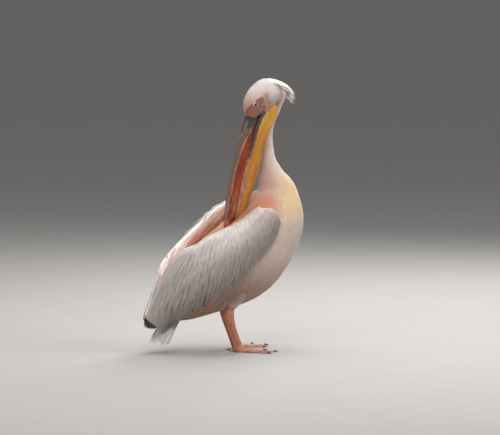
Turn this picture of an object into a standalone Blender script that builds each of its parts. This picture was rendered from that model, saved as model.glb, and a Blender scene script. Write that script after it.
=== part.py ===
"""A great white pelican preening its back, life size, as a still display model.

Metres, +Z up, the bird facing +X and its right side towards -Y.
The trunk and neck are one loft along a body line, parted into lengths by thin cuts.
The head, bill and pouch are lofts in a head frame that looks back over the right shoulder.
Wings, tail and webs are slabs: an outer and an inner sheet joined round their rim.
"""

import math

import bpy
import numpy as np
from mathutils import Vector

# Driving dimensions
STANCE = (0.0425, 0.0, 0.0)  # the spot between the feet, from the middle of the bird's box
CUT = 0.0005  # the thin cut that parts two lengths of the body
GAP = 0.0005  # clearance where one piece is carved to fit another
CULMEN = 0.372  # length of the upper bill, forehead to nail tip
EYE_R = 0.0078
FOOT_SPREAD = 0.062  # half the distance between the feet
TOE = 0.118  # middle toe, heel to claw
RIGHT_HEEL_X = -0.012
LEFT_HEEL_X = 0.022

# Body line, tail root to nape: x, y, z, half width, depth to the back, depth to the belly
BODY = (
    (-0.232, 0.000, 0.118, 0.030, 0.022, 0.026),
    (-0.190, 0.000, 0.158, 0.066, 0.060, 0.072),
    (-0.130, 0.000, 0.215, 0.096, 0.088, 0.118),
    (-0.060, 0.000, 0.275, 0.116, 0.094, 0.156),
    (0.012, 0.000, 0.330, 0.124, 0.092, 0.168),
    (0.078, 0.000, 0.388, 0.118, 0.088, 0.150),
    (0.122, 0.000, 0.447, 0.098, 0.084, 0.118),
    (0.138, 0.000, 0.505, 0.067, 0.068, 0.072),
    (0.125, 0.002, 0.556, 0.044, 0.045, 0.043),
    (0.111, 0.004, 0.600, 0.031, 0.031, 0.031),
    (0.105, 0.005, 0.645, 0.027, 0.027, 0.027),
    (0.104, 0.004, 0.690, 0.025, 0.025, 0.025),
    (0.111, -0.002, 0.735, 0.025, 0.025, 0.025),
    (0.123, -0.014, 0.778, 0.028, 0.027, 0.027),
    (0.121, -0.034, 0.815, 0.031, 0.032, 0.032),
    (0.098, -0.050, 0.838, 0.028, 0.027, 0.027),
)
TRUNK_END = 0.485  # distances along the body line
NECK_LOWER_END = 0.590
NECK_MIDDLE_END = 0.690

# Head frame: the forehead point where the culmen starts, the way the bill aims, and the crown's way
FOREHEAD = (0.0156, -0.060, 0.760)
BILL_AIM = (-0.214, 0.080, -0.974)
CROWN_AIM = (-0.955, -0.235, 0.155)

# Head, nape to bill: distance along the bill's aim, top and bottom height, half width
HEAD = (
    (-0.1245, -0.046, -0.064, 0.008),
    (-0.117, -0.030, -0.090, 0.024),
    (-0.104, -0.013, -0.106, 0.032),
    (-0.083, 0.004, -0.111, 0.036),
    (-0.060, 0.0135, -0.103, 0.0365),
    (-0.036, 0.0150, -0.086, 0.033),
    (-0.015, 0.009, -0.066, 0.028),
    (0.002, 0.001, -0.046, 0.0225),
)
EYE_PLACE = (-0.0380, -0.0092)  # along the aim, height
EYE_SIDE = 0.0221  # from the middle plane to the eyeball's centre

# Upper bill: distance along, ridge height, edge height, half width of the plates
UPPER_BILL = (
    (0.003, 0.000, -0.032, 0.0215),
    (0.060, 0.004, -0.030, 0.0220),
    (0.115, 0.006, -0.0295, 0.0220),
    (0.185, 0.005, -0.0290, 0.0230),
    (0.255, 0.001, -0.0295, 0.0240),
    (0.300, -0.006, -0.032, 0.0230),
    (0.330, -0.0125, -0.034, 0.0175),
    (0.350, -0.018, -0.037, 0.0110),
)
RIDGE = 0.30  # share of the half width that the round ridge takes
NAIL_HOOK = 0.013  # how far the nail turns down

# Lower bill, one side, gape to tip: distance along, height of its middle, half depth, half width out
LOWER_BILL = (
    (-0.034, -0.060, 0.0070, 0.0275),
    (0.010, -0.0445, 0.0115, 0.0262),
    (0.080, -0.0400, 0.0110, 0.0232),
    (0.160, -0.0385, 0.0102, 0.0222),
    (0.240, -0.0380, 0.0088, 0.0225),
    (0.300, -0.0405, 0.0070, 0.0195),
    (0.328, -0.0435, 0.0050, 0.0115),
)
JAW_HALF_THICK = 0.0026

# Pouch: distance along, height of its upper edge, height of its keel, half width
POUCH = (
    (-0.050, -0.080, -0.102, 0.018),
    (-0.034, -0.068, -0.114, 0.0265),
    (-0.005, -0.058, -0.120, 0.0275),
    (0.019, -0.054, -0.1195, 0.0265),
    (0.050, -0.0510, -0.106, 0.0245),
    (0.095, -0.0495, -0.0998, 0.0230),
    (0.190, -0.0465, -0.098, 0.0220),
    (0.253, -0.0455, -0.0935, 0.0210),
    (0.293, -0.0465, -0.0835, 0.0185),
    (0.322, -0.0490, -0.073, 0.0140),
    (0.340, -0.0520, -0.062, 0.0080),
)

# Wing line, wrist to tip: x, y, z, half chord, half thickness, wrap (how far the edges bend in)
WING = (
    (0.098, 0.104, 0.452, 0.021, 0.009, 0.004),
    (0.086, 0.112, 0.443, 0.039, 0.016, 0.010),
    (0.065, 0.121, 0.425, 0.050, 0.020, 0.018),
    (0.034, 0.130, 0.393, 0.058, 0.021, 0.024),
    (-0.004, 0.135, 0.361, 0.063, 0.020, 0.029),
    (-0.052, 0.134, 0.328, 0.071, 0.019, 0.033),
    (-0.102, 0.126, 0.292, 0.078, 0.017, 0.033),
    (-0.152, 0.110, 0.254, 0.082, 0.014, 0.030),
    (-0.202, 0.085, 0.212, 0.078, 0.011, 0.024),
    (-0.244, 0.061, 0.170, 0.066, 0.008, 0.018),
    (-0.272, 0.045, 0.135, 0.050, 0.006, 0.012),
    (-0.292, 0.034, 0.102, 0.036, 0.004, 0.008),
)
WING_PART = 0.52  # where the arm's coverts end and the flight feathers start
DROOP = (0.038, 0.016)  # the right scapulars hang lower over the shoulder, higher at the rear
PRIMARIES = ((-0.238, 0.030, 0.150), (-0.300, 0.012, 0.082))  # root and tip of the dark quills

# Scapular ridge along the top of each wing: x, y, z, half width, half height
SCAPULARS = (
    (0.080, 0.092, 0.475, 0.009, 0.006),
    (0.052, 0.090, 0.476, 0.022, 0.012),
    (0.006, 0.091, 0.456, 0.028, 0.015),
    (-0.040, 0.094, 0.428, 0.031, 0.017),
    (-0.095, 0.092, 0.382, 0.030, 0.016),
    (-0.155, 0.080, 0.337, 0.027, 0.014),
    (-0.204, 0.060, 0.299, 0.021, 0.011),
    (-0.240, 0.046, 0.264, 0.010, 0.006),
)

# Tail fan
TAIL_ROOT = (-0.205, 0.0, 0.128)
TAIL_TIP = (-0.285, 0.0, 0.034)
TAIL_HALF_WIDTH = (0.034, 0.072)  # at the root and at the tip
TAIL_FEATHERS = 7

# Legs, right side, hip to ankle: x, y from the middle, z, half width, half depth fore and aft
THIGH = (
    (0.004, 0.052, 0.235, 0.038, 0.046),
    (-0.012, 0.059, 0.200, 0.033, 0.038),
    (-0.025, 0.062, 0.172, 0.025, 0.028),
    (-0.034, 0.062, 0.151, 0.016, 0.019),
)
SHANK = (
    (-0.034, 0.062, 0.1502, 0.0100, 0.0140),
    (-0.040, 0.062, 0.136, 0.0100, 0.0145),
    (-0.044, 0.062, 0.118, 0.0125, 0.0180),
    (-0.041, 0.062, 0.102, 0.0100, 0.0165),
    (-0.033, 0.062, 0.075, 0.0080, 0.0140),
    (-0.022, 0.062, 0.045, 0.0080, 0.0135),
    (-0.013, 0.062, 0.022, 0.0095, 0.0140),
    (-0.010, 0.062, 0.0095, 0.0100, 0.0135),
)
TOES = (  # turn from the foot's aim (inner side positive), length share, half width at its root
    (128.0, 0.42, 0.0048),
    (27.0, 0.80, 0.0058),
    (0.0, 1.00, 0.0064),
    (-27.0, 0.93, 0.0056),
)
WEB_THICK = 0.0032
TOE_OUT = {"right": -20.0, "left": 13.0}  # degrees that each foot turns outwards

COLOURS = {
    "plumage": ((0.86, 0.76, 0.72), 0.75),
    "wing": ((0.78, 0.76, 0.74), 0.70),
    "quill": ((0.07, 0.065, 0.065), 0.55),
    "face": ((0.72, 0.45, 0.38), 0.60),
    "bill": ((0.62, 0.27, 0.13), 0.38),
    "jaw": ((0.42, 0.38, 0.38), 0.40),
    "nail": ((0.62, 0.07, 0.04), 0.32),
    "pouch": ((0.80, 0.52, 0.08), 0.48),
    "leg": ((0.78, 0.36, 0.22), 0.50),
    "claw": ((0.30, 0.24, 0.21), 0.40),
    "eye": ((0.04, 0.015, 0.01), 0.05),
}


# Small tools


def clear_scene():
    for obj in list(bpy.data.objects):
        bpy.data.objects.remove(obj)


def finish(kind):
    """The material of this kind, made once."""
    if kind in bpy.data.materials:
        return bpy.data.materials[kind]
    colour, roughness = COLOURS[kind]
    material = bpy.data.materials.new(kind)
    material.use_nodes = True
    shader = material.node_tree.nodes["Principled BSDF"]
    shader.inputs["Base Color"].default_value = (*colour, 1.0)
    shader.inputs["Roughness"].default_value = roughness
    shader.inputs["Metallic"].default_value = 0.0
    return material


def add_mesh(name, points, faces, kind):
    """A smooth-shaded object of these points and faces, standing on the stance."""
    mesh = bpy.data.meshes.new(name)
    mesh.from_pydata([tuple(p) for p in np.asarray(points, float)], [], faces)
    mesh.validate()
    mesh.shade_smooth()
    obj = bpy.data.objects.new(name, mesh)
    obj.data.materials.append(finish(kind))
    bpy.context.scene.collection.objects.link(obj)
    obj.parent = bpy.data.objects["stance"]
    return obj


def unit(vectors):
    vectors = np.asarray(vectors, float)
    return vectors / np.maximum(np.linalg.norm(vectors, axis=-1, keepdims=True), 1e-12)


def through(rows, at):
    """Catmull-Rom curve through the rows, read at these positions, 0 at the first row."""
    rows = np.asarray(rows, float)
    at = np.clip(np.asarray(at, float), 0.0, len(rows) - 1.0)
    ends = np.vstack([2 * rows[0] - rows[1], rows, 2 * rows[-1] - rows[-2]])
    i = np.minimum(at.astype(int), len(rows) - 2)
    t = (at - i)[:, None]
    a, b, c, d = ends[i], ends[i + 1], ends[i + 2], ends[i + 3]
    return b + 0.5 * t * (
        (c - a) + t * ((2 * a - 5 * b + 4 * c - d) + t * (3 * (b - c) + d - a))
    )


def evenly(rows, steps=400):
    """The curve through the rows as a table by distance: distances, and the rows there."""
    fine = through(rows, np.linspace(0, len(rows) - 1, steps))
    moved = np.linalg.norm(np.diff(fine[:, :3], axis=0), axis=1)
    return np.concatenate([[0.0], np.cumsum(moved)]), fine


def read(table, distances):
    along, rows = table
    return np.stack([np.interp(distances, along, column) for column in rows.T], axis=1)


def lathe_faces(rings, around):
    """Quads between successive rings, and a cap on each end."""
    faces = [
        (i * around + j, i * around + (j + 1) % around,
         (i + 1) * around + (j + 1) % around, (i + 1) * around + j)
        for i in range(rings - 1)
        for j in range(around)
    ]
    faces.append(tuple(reversed(range(around))))
    faces.append(tuple((rings - 1) * around + j for j in range(around)))
    return faces


def face_outwards(obj):
    """Turns the mesh inside out if its faces point inwards."""
    mesh = obj.data
    mesh.calc_loop_triangles()
    points = np.array([v.co for v in mesh.vertices])
    corners = points[np.array([t.vertices for t in mesh.loop_triangles])]
    if np.linalg.det(corners).sum() < 0:
        mesh.flip_normals()
    return obj


def loft(name, rings, kind):
    """A closed solid of rings of points, an array of rings by points by 3."""
    rings = np.asarray(rings, float)
    count, around = rings.shape[:2]
    return face_outwards(add_mesh(name, rings.reshape(-1, 3), lathe_faces(count, around), kind))


def slab(name, outer, inner, kind):
    """A closed solid of an outer and an inner sheet, both grids of points, joined round the rim."""
    n, m = outer.shape[:2]
    points = np.concatenate([outer.reshape(-1, 3), inner.reshape(-1, 3)])
    index = np.arange(n * m).reshape(n, m)
    faces = []
    for i in range(n - 1):
        for j in range(m - 1):
            a, b, c, d = index[i, j], index[i, j + 1], index[i + 1, j + 1], index[i + 1, j]
            faces += [(a, b, c, d), (d + n * m, c + n * m, b + n * m, a + n * m)]
    rim = [*index[0, :], *index[1:, -1], *index[-1, -2::-1], *index[-2:0:-1, 0]]
    for a, b in zip(rim, rim[1:] + rim[:1]):
        faces.append((b, a, a + n * m, b + n * m))
    faces = [tuple(int(v) for v in face) for face in faces]
    return face_outwards(add_mesh(name, points, faces, kind))


def grown(obj, by):
    """A hidden cutter: the object's mesh with every point moved out by this much."""
    cutter = bpy.data.objects.new(obj.name + "_cutter", evaluated(obj))
    bpy.context.scene.collection.objects.link(cutter)
    cutter.parent = obj.parent
    cutter.location = obj.location
    normals = np.array([n.vector for n in cutter.data.vertex_normals])
    points = np.array([v.co for v in cutter.data.vertices])
    cutter.data.vertices.foreach_set("co", (points + by * normals).ravel())
    cutter.hide_render = True
    cutter.display_type = "WIRE"
    return cutter


def evaluated(obj):
    """A new mesh of the object as its modifiers leave it."""
    graph = bpy.context.evaluated_depsgraph_get()
    return bpy.data.meshes.new_from_object(obj.evaluated_get(graph))


def boolean(obj, other, operation):
    modifier = obj.modifiers.new(operation.lower() + "_" + other.name, "BOOLEAN")
    modifier.operation = operation
    modifier.solver = "EXACT"
    modifier.object = other
    return obj


def carve(obj, *others):
    """Cuts the others from the object, leaving the fitting gap."""
    for other in others:
        boolean(obj, grown(other, GAP), "DIFFERENCE")
    return obj


def join(obj, *others):
    """Joins the others to the object as one solid, and hides them."""
    for other in others:
        boolean(obj, other, "UNION")
        other.hide_render = True
        other.display_type = "WIRE"
    return obj


# Trunk and neck


def body_rings(start, end, rings, around, line):
    """Rings across the body line: an ellipse whose back half and belly half have their own depth."""
    rows = read(line, np.linspace(start, end, rings))
    step = 0.002
    ahead, behind = (read(line, np.linspace(start, end, rings) + s)[:, :3] for s in (step, -step))
    tangent = unit(ahead - behind)
    side = unit(np.array([0.0, 1.0, 0.0]) - tangent * tangent[:, 1:2])
    back = np.cross(tangent, side)
    turn = np.linspace(0, 2 * math.pi, around, endpoint=False)
    wide, high = np.cos(turn), np.sin(turn)
    depth = np.where(high > 0, rows[:, 4:5], rows[:, 5:6]) * high
    return (
        rows[:, None, :3]
        + side[:, None] * (rows[:, 3:4] * wide)[..., None]
        + back[:, None] * depth[..., None]
    )


def make_trunk_and_neck():
    line = evenly(BODY)
    whole = line[0][-1]
    lengths = (
        ("trunk", 0.0, TRUNK_END, 18, 22),
        ("neck_lower", TRUNK_END + CUT, NECK_LOWER_END, 6, 18),
        ("neck_middle", NECK_LOWER_END + CUT, NECK_MIDDLE_END, 5, 14),
        ("neck_upper", NECK_MIDDLE_END + CUT, whole, 9, 14),
    )
    return {
        name: loft(name, body_rings(start, end, rings, around, line), "plumage")
        for name, start, end, rings, around in lengths
    }


# Head and bill, in the head frame


def head_axes():
    aim = unit(BILL_AIM)
    crown = np.array(CROWN_AIM) - aim * np.dot(CROWN_AIM, aim)
    crown = unit(crown)
    return aim, crown, np.cross(crown, aim)


def in_head(along, height, left):
    """World places of head coordinates: along the aim, up to the crown, and to the bird's left."""
    aim, crown, side = head_axes()
    along, height, left = np.broadcast_arrays(along, height, left)
    return (
        np.array(FOREHEAD)
        + along[..., None] * aim
        + height[..., None] * crown
        + left[..., None] * side
    )


def head_rings(rows, count, around):
    """Ellipses across the head's axis."""
    rows = through(rows, np.linspace(0, len(rows) - 1, count))
    turn = np.linspace(0, 2 * math.pi, around, endpoint=False)
    middle, half = (rows[:, 1] + rows[:, 2]) / 2, (rows[:, 1] - rows[:, 2]) / 2
    height = middle[:, None] + half[:, None] * np.sin(turn)
    left = rows[:, 3:4] * np.cos(turn)
    return in_head(rows[:, :1], height, left)


def make_head():
    return loft("head", head_rings(HEAD, 14, 18), "plumage")


def make_eye(side):
    sign = 1 if side == "left" else -1
    centre = in_head(EYE_PLACE[0], EYE_PLACE[1], sign * EYE_SIDE)
    bpy.ops.mesh.primitive_uv_sphere_add(segments=12, ring_count=8, radius=EYE_R)
    ball = bpy.context.object
    ball.name = "eye_" + side
    ball.data.materials.append(finish("eye"))
    ball.data.shade_smooth()
    ball.parent = bpy.data.objects["stance"]
    ball.location = Vector(centre)
    return ball


def roof(ridge, edge, half, ridge_share=RIDGE):
    """Half section of the upper bill, ridge top to edge to the middle of the palate: left, height."""
    drop = ridge - edge
    shoulder = ridge_share * half
    return np.array([
        (0.0, ridge),
        (0.62 * shoulder, ridge - 0.06 * drop),
        (shoulder, ridge - 0.26 * drop),
        (1.35 * shoulder, ridge - 0.40 * drop),
        (0.80 * half, ridge - 0.66 * drop),
        (half, edge + 0.10 * drop),
        (0.97 * half, edge),
        (0.50 * half, edge + 0.10 * drop),
    ])


def roof_ring(along, ridge, edge, half):
    right = roof(ridge, edge, half)
    palate = [(0.0, right[-1][1])]
    section = np.array([*right, *palate, *[(-x, z) for x, z in right[:0:-1]]])
    return in_head(along, section[:, 1], section[:, 0])


def make_upper_bill():
    rows = through(UPPER_BILL, np.linspace(0, len(UPPER_BILL) - 1, 11))
    return loft("bill_upper", [roof_ring(*row) for row in rows], "bill")


def make_nail():
    """The nail: the bill's last rings, narrowed and hooked down to a point."""
    start, ridge, edge, half = UPPER_BILL[-1]
    rings = []
    for t in np.linspace(0, 1, 7):
        narrow = math.sqrt(max(1 - t * t, 0.02))
        drop = NAIL_HOOK * t**2.2
        along = start + CUT + (CULMEN - start) * math.sin(t * math.pi / 2)
        middle = (ridge + edge) / 2 - drop
        tall = (ridge - edge) / 2 * (1 - 0.55 * t)
        turn = np.linspace(0, 2 * math.pi, 12, endpoint=False)
        rings.append(in_head(along, middle + tall * np.sin(turn), half * narrow * np.cos(turn)))
    return loft("bill_nail", rings, "nail")


def make_lower_bill():
    """One hairpin of bone: left gape to the tip and back to the right gape."""
    rows = through(LOWER_BILL, np.linspace(0, len(LOWER_BILL) - 1, 9))
    bow = rows[-1, 3]
    tip = [(rows[-1, 0] + bow * 0.62 * math.sin(a), rows[-1, 1], rows[-1, 2], bow * math.cos(a))
           for a in np.radians([45, 90, 135])]
    mirrored = rows[::-1] * np.array([1, 1, 1, -1])
    path = np.vstack([rows, tip, mirrored])
    centres = in_head(path[:, 0], path[:, 1], path[:, 3])
    crown = head_axes()[1]
    tangent = unit(np.gradient(centres, axis=0))
    out = unit(np.cross(tangent, crown))
    turn = np.linspace(0, 2 * math.pi, 6, endpoint=False)
    rings = (
        centres[:, None]
        + crown * (path[:, 2:3] * np.sin(turn))[..., None]
        + out[:, None] * (JAW_HALF_THICK * np.cos(turn))[None, :, None]
    )
    return loft("bill_lower", rings, "jaw")


def make_pouch():
    """Bag of skin under the jaw: flat on top, sides falling to a round keel."""
    rows = through(POUCH, np.linspace(0, len(POUCH) - 1, 14))
    turn = np.linspace(0, math.pi, 8)
    rings = []
    for along, top, keel, half in rows:
        left = half * np.cos(turn)
        height = top + (keel - top) * np.sin(turn) ** 0.85
        rings.append(in_head(along, height, left))
    return loft("pouch", rings, "pouch")


def leaf(name, root, tip, wide, face, kind, thick=0.003, bend=0.0, rows=7):
    """A feather-shaped slab from root to tip, widest a third of the way, its flat facing this way."""
    root, tip = np.asarray(root, float), np.asarray(tip, float)
    aim = unit(tip - root)
    across = unit(np.cross(face, aim))
    normal = np.cross(aim, across)
    t = np.linspace(0, 1, rows)
    half = wide * np.maximum(np.sin(math.pi * t**0.62) ** 0.75, 0.10)
    line = root + (tip - root) * t[:, None] + normal * (bend * np.sin(math.pi * t))[:, None]
    x = np.linspace(-1, 1, 3)
    middle = line[:, None] + across * (half[:, None] * x)[..., None]
    swell = (thick / 2) * (1.0 - 0.6 * np.abs(x))[None, :, None] * (1.15 - t)[:, None, None]
    return slab(name, middle + normal * swell, middle - normal * swell, kind)


def crest_root_rings():
    """A low mound on the nape that carries the plumes."""
    rings = []
    for turn_up in np.linspace(-80, 80, 6):
        reach, rise = math.cos(math.radians(turn_up)), math.sin(math.radians(turn_up))
        turn = np.linspace(0, 2 * math.pi, 10, endpoint=False)
        height = -0.106 + 0.019 * reach * np.sin(turn)
        rings.append(in_head(-0.088 + 0.024 * rise, height, 0.019 * reach * np.cos(turn)))
    return rings


def make_crest():
    """Loose plumes off the nape, joined at their roots."""
    plumes = (
        (-0.094, -0.106, 0.003, -0.070, -0.160, 0.006),
        (-0.089, -0.108, -0.004, -0.050, -0.176, -0.008),
        (-0.084, -0.109, 0.004, -0.034, -0.178, 0.012),
        (-0.080, -0.110, -0.001, -0.042, -0.152, 0.000),
    )
    face = head_axes()[0] * -0.6 + head_axes()[2] * 0.8
    made = [
        leaf(f"plume_{i}", in_head(*row[:3]), in_head(*row[3:]), 0.009, face, "plumage",
             thick=0.008, bend=-0.008, rows=5)
        for i, row in enumerate(plumes)
    ]
    root = loft("crest", crest_root_rings(), "plumage")
    return join(root, *made)


# Wings and tail


def mirror_y(points, side):
    """Places for the left side as written, and reflected for the right."""
    return points if side == "left" else points * np.array([1.0, -1.0, 1.0])


def wing_sheet(u, v):
    """Middle sheet and half thickness of a wing: u from wrist to tip, v from lower to upper edge."""
    line = evenly(WING)
    rows = read(line, u * line[0][-1])
    ahead, behind = (read(line, u * line[0][-1] + s)[:, :3] for s in (0.003, -0.003))
    aim = unit(ahead - behind)
    lean = np.array([-0.10, 1.0, 0.36]) + np.array([0.0, 0.0, 0.7]) * u[:, None] ** 2
    normal = unit(lean - aim * (aim * lean).sum(1, keepdims=True))
    chord = np.cross(aim, normal)
    chord *= np.sign(chord[:, 2:3])
    middle = (
        rows[:, None, :3]
        + chord[:, None] * (rows[:, 3:4] * v)[..., None]
        - normal[:, None] * (rows[:, 5:6] * v**2)[..., None]
    )
    thick = rows[:, 4:5] * np.sqrt(np.maximum(1 - v**2, 0.004))
    return middle, normal[:, None], thick[..., None]


def fringe(v, teeth, depth):
    """Feather tips along a hem: rounded teeth across v."""
    return depth * np.abs(np.sin(teeth * math.pi * (v + 1) / 2)) ** 0.6


def make_wing(side):
    v = np.linspace(-1, 1, 9)
    pieces = []
    ranges = (("arm", 0.0, WING_PART, 8), ("flight", WING_PART + 0.001, 1.0, 7))
    for part, start, end, rows in ranges:
        u = np.linspace(start, end, rows)
        middle, normal, thick = wing_sheet(u, v)
        if part == "flight":
            rear = unit(middle[-1] - middle[-3])
            reach = np.clip((u - start) / (end - start), 0, 1)[:, None] ** 2
            middle = middle + rear[None] * (fringe(v, 4, 0.024)[None] * reach)[..., None]
        outer, inner = middle + normal * thick, middle - normal * thick
        name = f"wing_{side}_{part}"
        pieces.append(slab(name, mirror_y(outer, side), mirror_y(inner, side), "wing"))
    return pieces


def make_primaries(side):
    """The dark quill tips that show under the end of the folded wing: one blade, three points."""
    root, tip = (np.array(p) for p in PRIMARIES)
    u, v = np.linspace(0, 1, 4)[:, None], np.linspace(-1, 1, 7)
    across = unit(np.cross(tip - root, (0.0, 1.0, 0.0)))
    reach = 0.86 + fringe(v, 3, 0.14) - 0.05 * v
    middle = root + (tip - root) * (u * reach)[..., None]
    middle = middle + across * ((0.020 - 0.008 * u) * v)[..., None]
    thick = 0.0025 * (1.0 - 0.5 * v**2) * (1.1 - 0.6 * u)
    swell = np.array([0.0, 1.0, 0.0]) * thick[..., None]
    name = f"wing_{side}_primaries"
    return slab(name, mirror_y(middle + swell, side), mirror_y(middle - swell, side), "quill")


def make_scapulars(side):
    rows = through(SCAPULARS, np.linspace(0, len(SCAPULARS) - 1, 10))
    centres = rows[:, :3].copy()
    if side == "right":
        rear = np.clip((-centres[:, 0] - 0.14) / 0.07, 0, 1)
        centres[:, 2] -= DROOP[0] * np.exp(-((centres[:, 0] + 0.012) / 0.078) ** 2)
        centres[:, 2] += DROOP[1] * rear * rear * (3 - 2 * rear)
    tangent = unit(np.gradient(centres, axis=0))
    lean = np.array([-0.35, 0.55, 0.75])
    up = unit(lean - tangent * (tangent @ lean)[:, None])
    across = np.cross(tangent, up)
    turn = np.linspace(0, 2 * math.pi, 8, endpoint=False)
    rings = (
        centres[:, None]
        + across[:, None] * (rows[:, 3:4] * np.cos(turn))[..., None]
        + up[:, None] * (rows[:, 4:5] * np.sin(turn))[..., None]
    )
    return loft(f"wing_{side}_scapulars", mirror_y(rings, side), "wing")


def make_tail():
    """A fan of overlapping feathers with a toothed hem."""
    root, tip = np.array(TAIL_ROOT), np.array(TAIL_TIP)
    columns = TAIL_FEATHERS * 2 + 1
    v = np.linspace(-1, 1, columns)
    u = np.linspace(0, 1, 4)[:, None]
    half = TAIL_HALF_WIDTH[0] + (TAIL_HALF_WIDTH[1] - TAIL_HALF_WIDTH[0]) * u
    reach = 1 - 0.14 * v**2 + fringe(v, TAIL_FEATHERS, 0.07) * u
    aim = tip - root
    normal = unit(np.cross(aim, (0.0, 1.0, 0.0)))
    normal *= np.sign(normal[2])
    middle = root + aim * (u * reach)[..., None]
    middle = middle + np.array([0.0, 1.0, 0.0]) * (half * v)[..., None]
    middle = middle - normal * (0.020 * v**2 * (0.4 + u))[..., None]
    thick = (0.0085 - 0.0065 * u) * (1 - 0.6 * v**2)
    return slab("tail", middle + normal * thick[..., None], middle - normal * thick[..., None],
                "wing")


# Legs and feet


def leg_rings(rows, side, count, around):
    """Ellipses across a leg's line, thinner across the bird than fore and aft."""
    shift = 0.0 if side == "right" else LEFT_HEEL_X - RIGHT_HEEL_X
    rows = through(rows, np.linspace(0, len(rows) - 1, count))
    centres = rows[:, :3].copy()
    centres[:, 0] += shift
    tangent = unit(np.gradient(centres, axis=0))
    across = unit(np.array([0.0, 1.0, 0.0]) - tangent * tangent[:, 1:2])
    fore = np.cross(tangent, across)
    turn = np.linspace(0, 2 * math.pi, around, endpoint=False)
    rings = (
        centres[:, None]
        + across[:, None] * (rows[:, 3:4] * np.cos(turn))[..., None]
        + fore[:, None] * (rows[:, 4:5] * np.sin(turn))[..., None]
    )
    return mirror_y(rings, side)


def foot_frame(side):
    """Heel place, aim and inner way of a foot on the floor."""
    heel_x = RIGHT_HEEL_X if side == "right" else LEFT_HEEL_X
    sign = -1 if side == "right" else 1
    turn = math.radians(TOE_OUT[side])
    aim = np.array([math.cos(turn), math.sin(turn), 0.0])
    inner = np.array([-aim[1], aim[0], 0.0]) * -sign
    return np.array([heel_x, sign * FOOT_SPREAD, 0.0]), aim, inner


def toe_end(side, turn, share):
    heel, aim, inner = foot_frame(side)
    angle = math.radians(turn)
    way = aim * math.cos(angle) + inner * math.sin(angle)
    return heel, heel + way * TOE * share, way


def make_toe(side, number, turn, share, half):
    """A toe: round on top, flat underneath, with two swellings at its joints."""
    heel, end, way = toe_end(side, turn, share)
    t = np.linspace(0, 1, 5)
    wide = half * (1 - 0.42 * t) * (1 + 0.10 * np.cos(5 * math.pi * t))
    tall = wide * (1.75 - 0.55 * t)
    across = np.cross((0, 0, 1), way)
    turn_up = np.radians([0, 45, 90, 135, 180])
    flat = np.concatenate([np.cos(turn_up), [-0.75, 0.75]])
    rise = np.concatenate([0.15 + 0.85 * np.sin(turn_up), [0.0, 0.0]])
    centres = heel + (end - heel) * t[:, None]
    rings = centres[:, None] + across * (wide[:, None] * flat)[..., None]
    rings[..., 2] = tall[:, None] * rise
    return loft(f"toe_{side}_{number}", rings, "leg")


def make_web(side):
    """The web: a thin flat plate that hangs in curves between the toe tips."""
    heel = foot_frame(side)[0]
    tips = [toe_end(side, turn, share * 0.94)[1] for turn, share, _ in TOES]
    outline = [heel + (heel - tips[2]) * 0.10]
    for a, b in zip(tips, tips[1:]):
        middle = (a + b) / 2
        for t in np.linspace(0, 1, 5)[:-1]:
            sag = 0.30 * 4 * t * (1 - t)
            outline.append(a + (b - a) * t + (heel - middle) * sag * 0.55)
    outline.append(tips[-1])
    ring = np.array(outline)
    top = ring.copy()
    top[:, 2] = WEB_THICK
    return loft(f"web_{side}", [ring, top], "leg")


def make_claws(side):
    """A small curved claw at the end of each toe."""
    made = []
    for number, (turn, share, half) in enumerate(TOES):
        _, end, way = toe_end(side, turn, share)
        rings = []
        for t in np.linspace(0, 1, 4):
            centre = end + way * (0.0150 * t - 0.0025)
            tall = 0.0036 * (1 - 0.72 * t)
            wide = half * 0.42 * (1 - 0.75 * t)
            turned = np.linspace(0, 2 * math.pi, 6, endpoint=False)
            across = np.cross((0, 0, 1), way)
            ring = centre + across * (wide * np.cos(turned))[:, None]
            ring[:, 2] = 0.0048 * (1 - 0.45 * t**2) + tall * np.sin(turned)
            rings.append(ring)
        made.append(loft(f"claw_{side}_{number + 1}", rings, "claw"))
    return made


def make_foot(side):
    web = make_web(side)
    toes = [make_toe(side, i, *row) for i, row in enumerate(TOES)]
    heel = foot_frame(side)[0]
    bpy.ops.mesh.primitive_uv_sphere_add(segments=10, ring_count=6, radius=1.0)
    pad = bpy.context.object
    pad.name = f"pad_{side}"
    pad.scale = (0.0150, 0.0125, 0.0150)
    pad.location = Vector(heel + np.array([0.004, 0.0, 0.0095]))
    pad.parent = bpy.data.objects["stance"]
    bpy.ops.mesh.primitive_cube_add(size=0.2)
    under = bpy.context.object
    under.name = f"floor_{side}"
    under.location = Vector(heel + np.array([0.0, 0.0, -0.1]))
    under.parent = bpy.data.objects["stance"]
    under.hide_render = True
    under.display_type = "WIRE"
    web.name = f"foot_{side}"
    join(web, pad, *toes, *make_claws(side))
    return boolean(web, under, "DIFFERENCE")


def make_leg(side):
    thigh = loft(f"thigh_{side}", leg_rings(THIGH, side, 7, 12), "plumage")
    shank = loft(f"shank_{side}", leg_rings(SHANK, side, 12, 10), "leg")
    return thigh, shank


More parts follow.
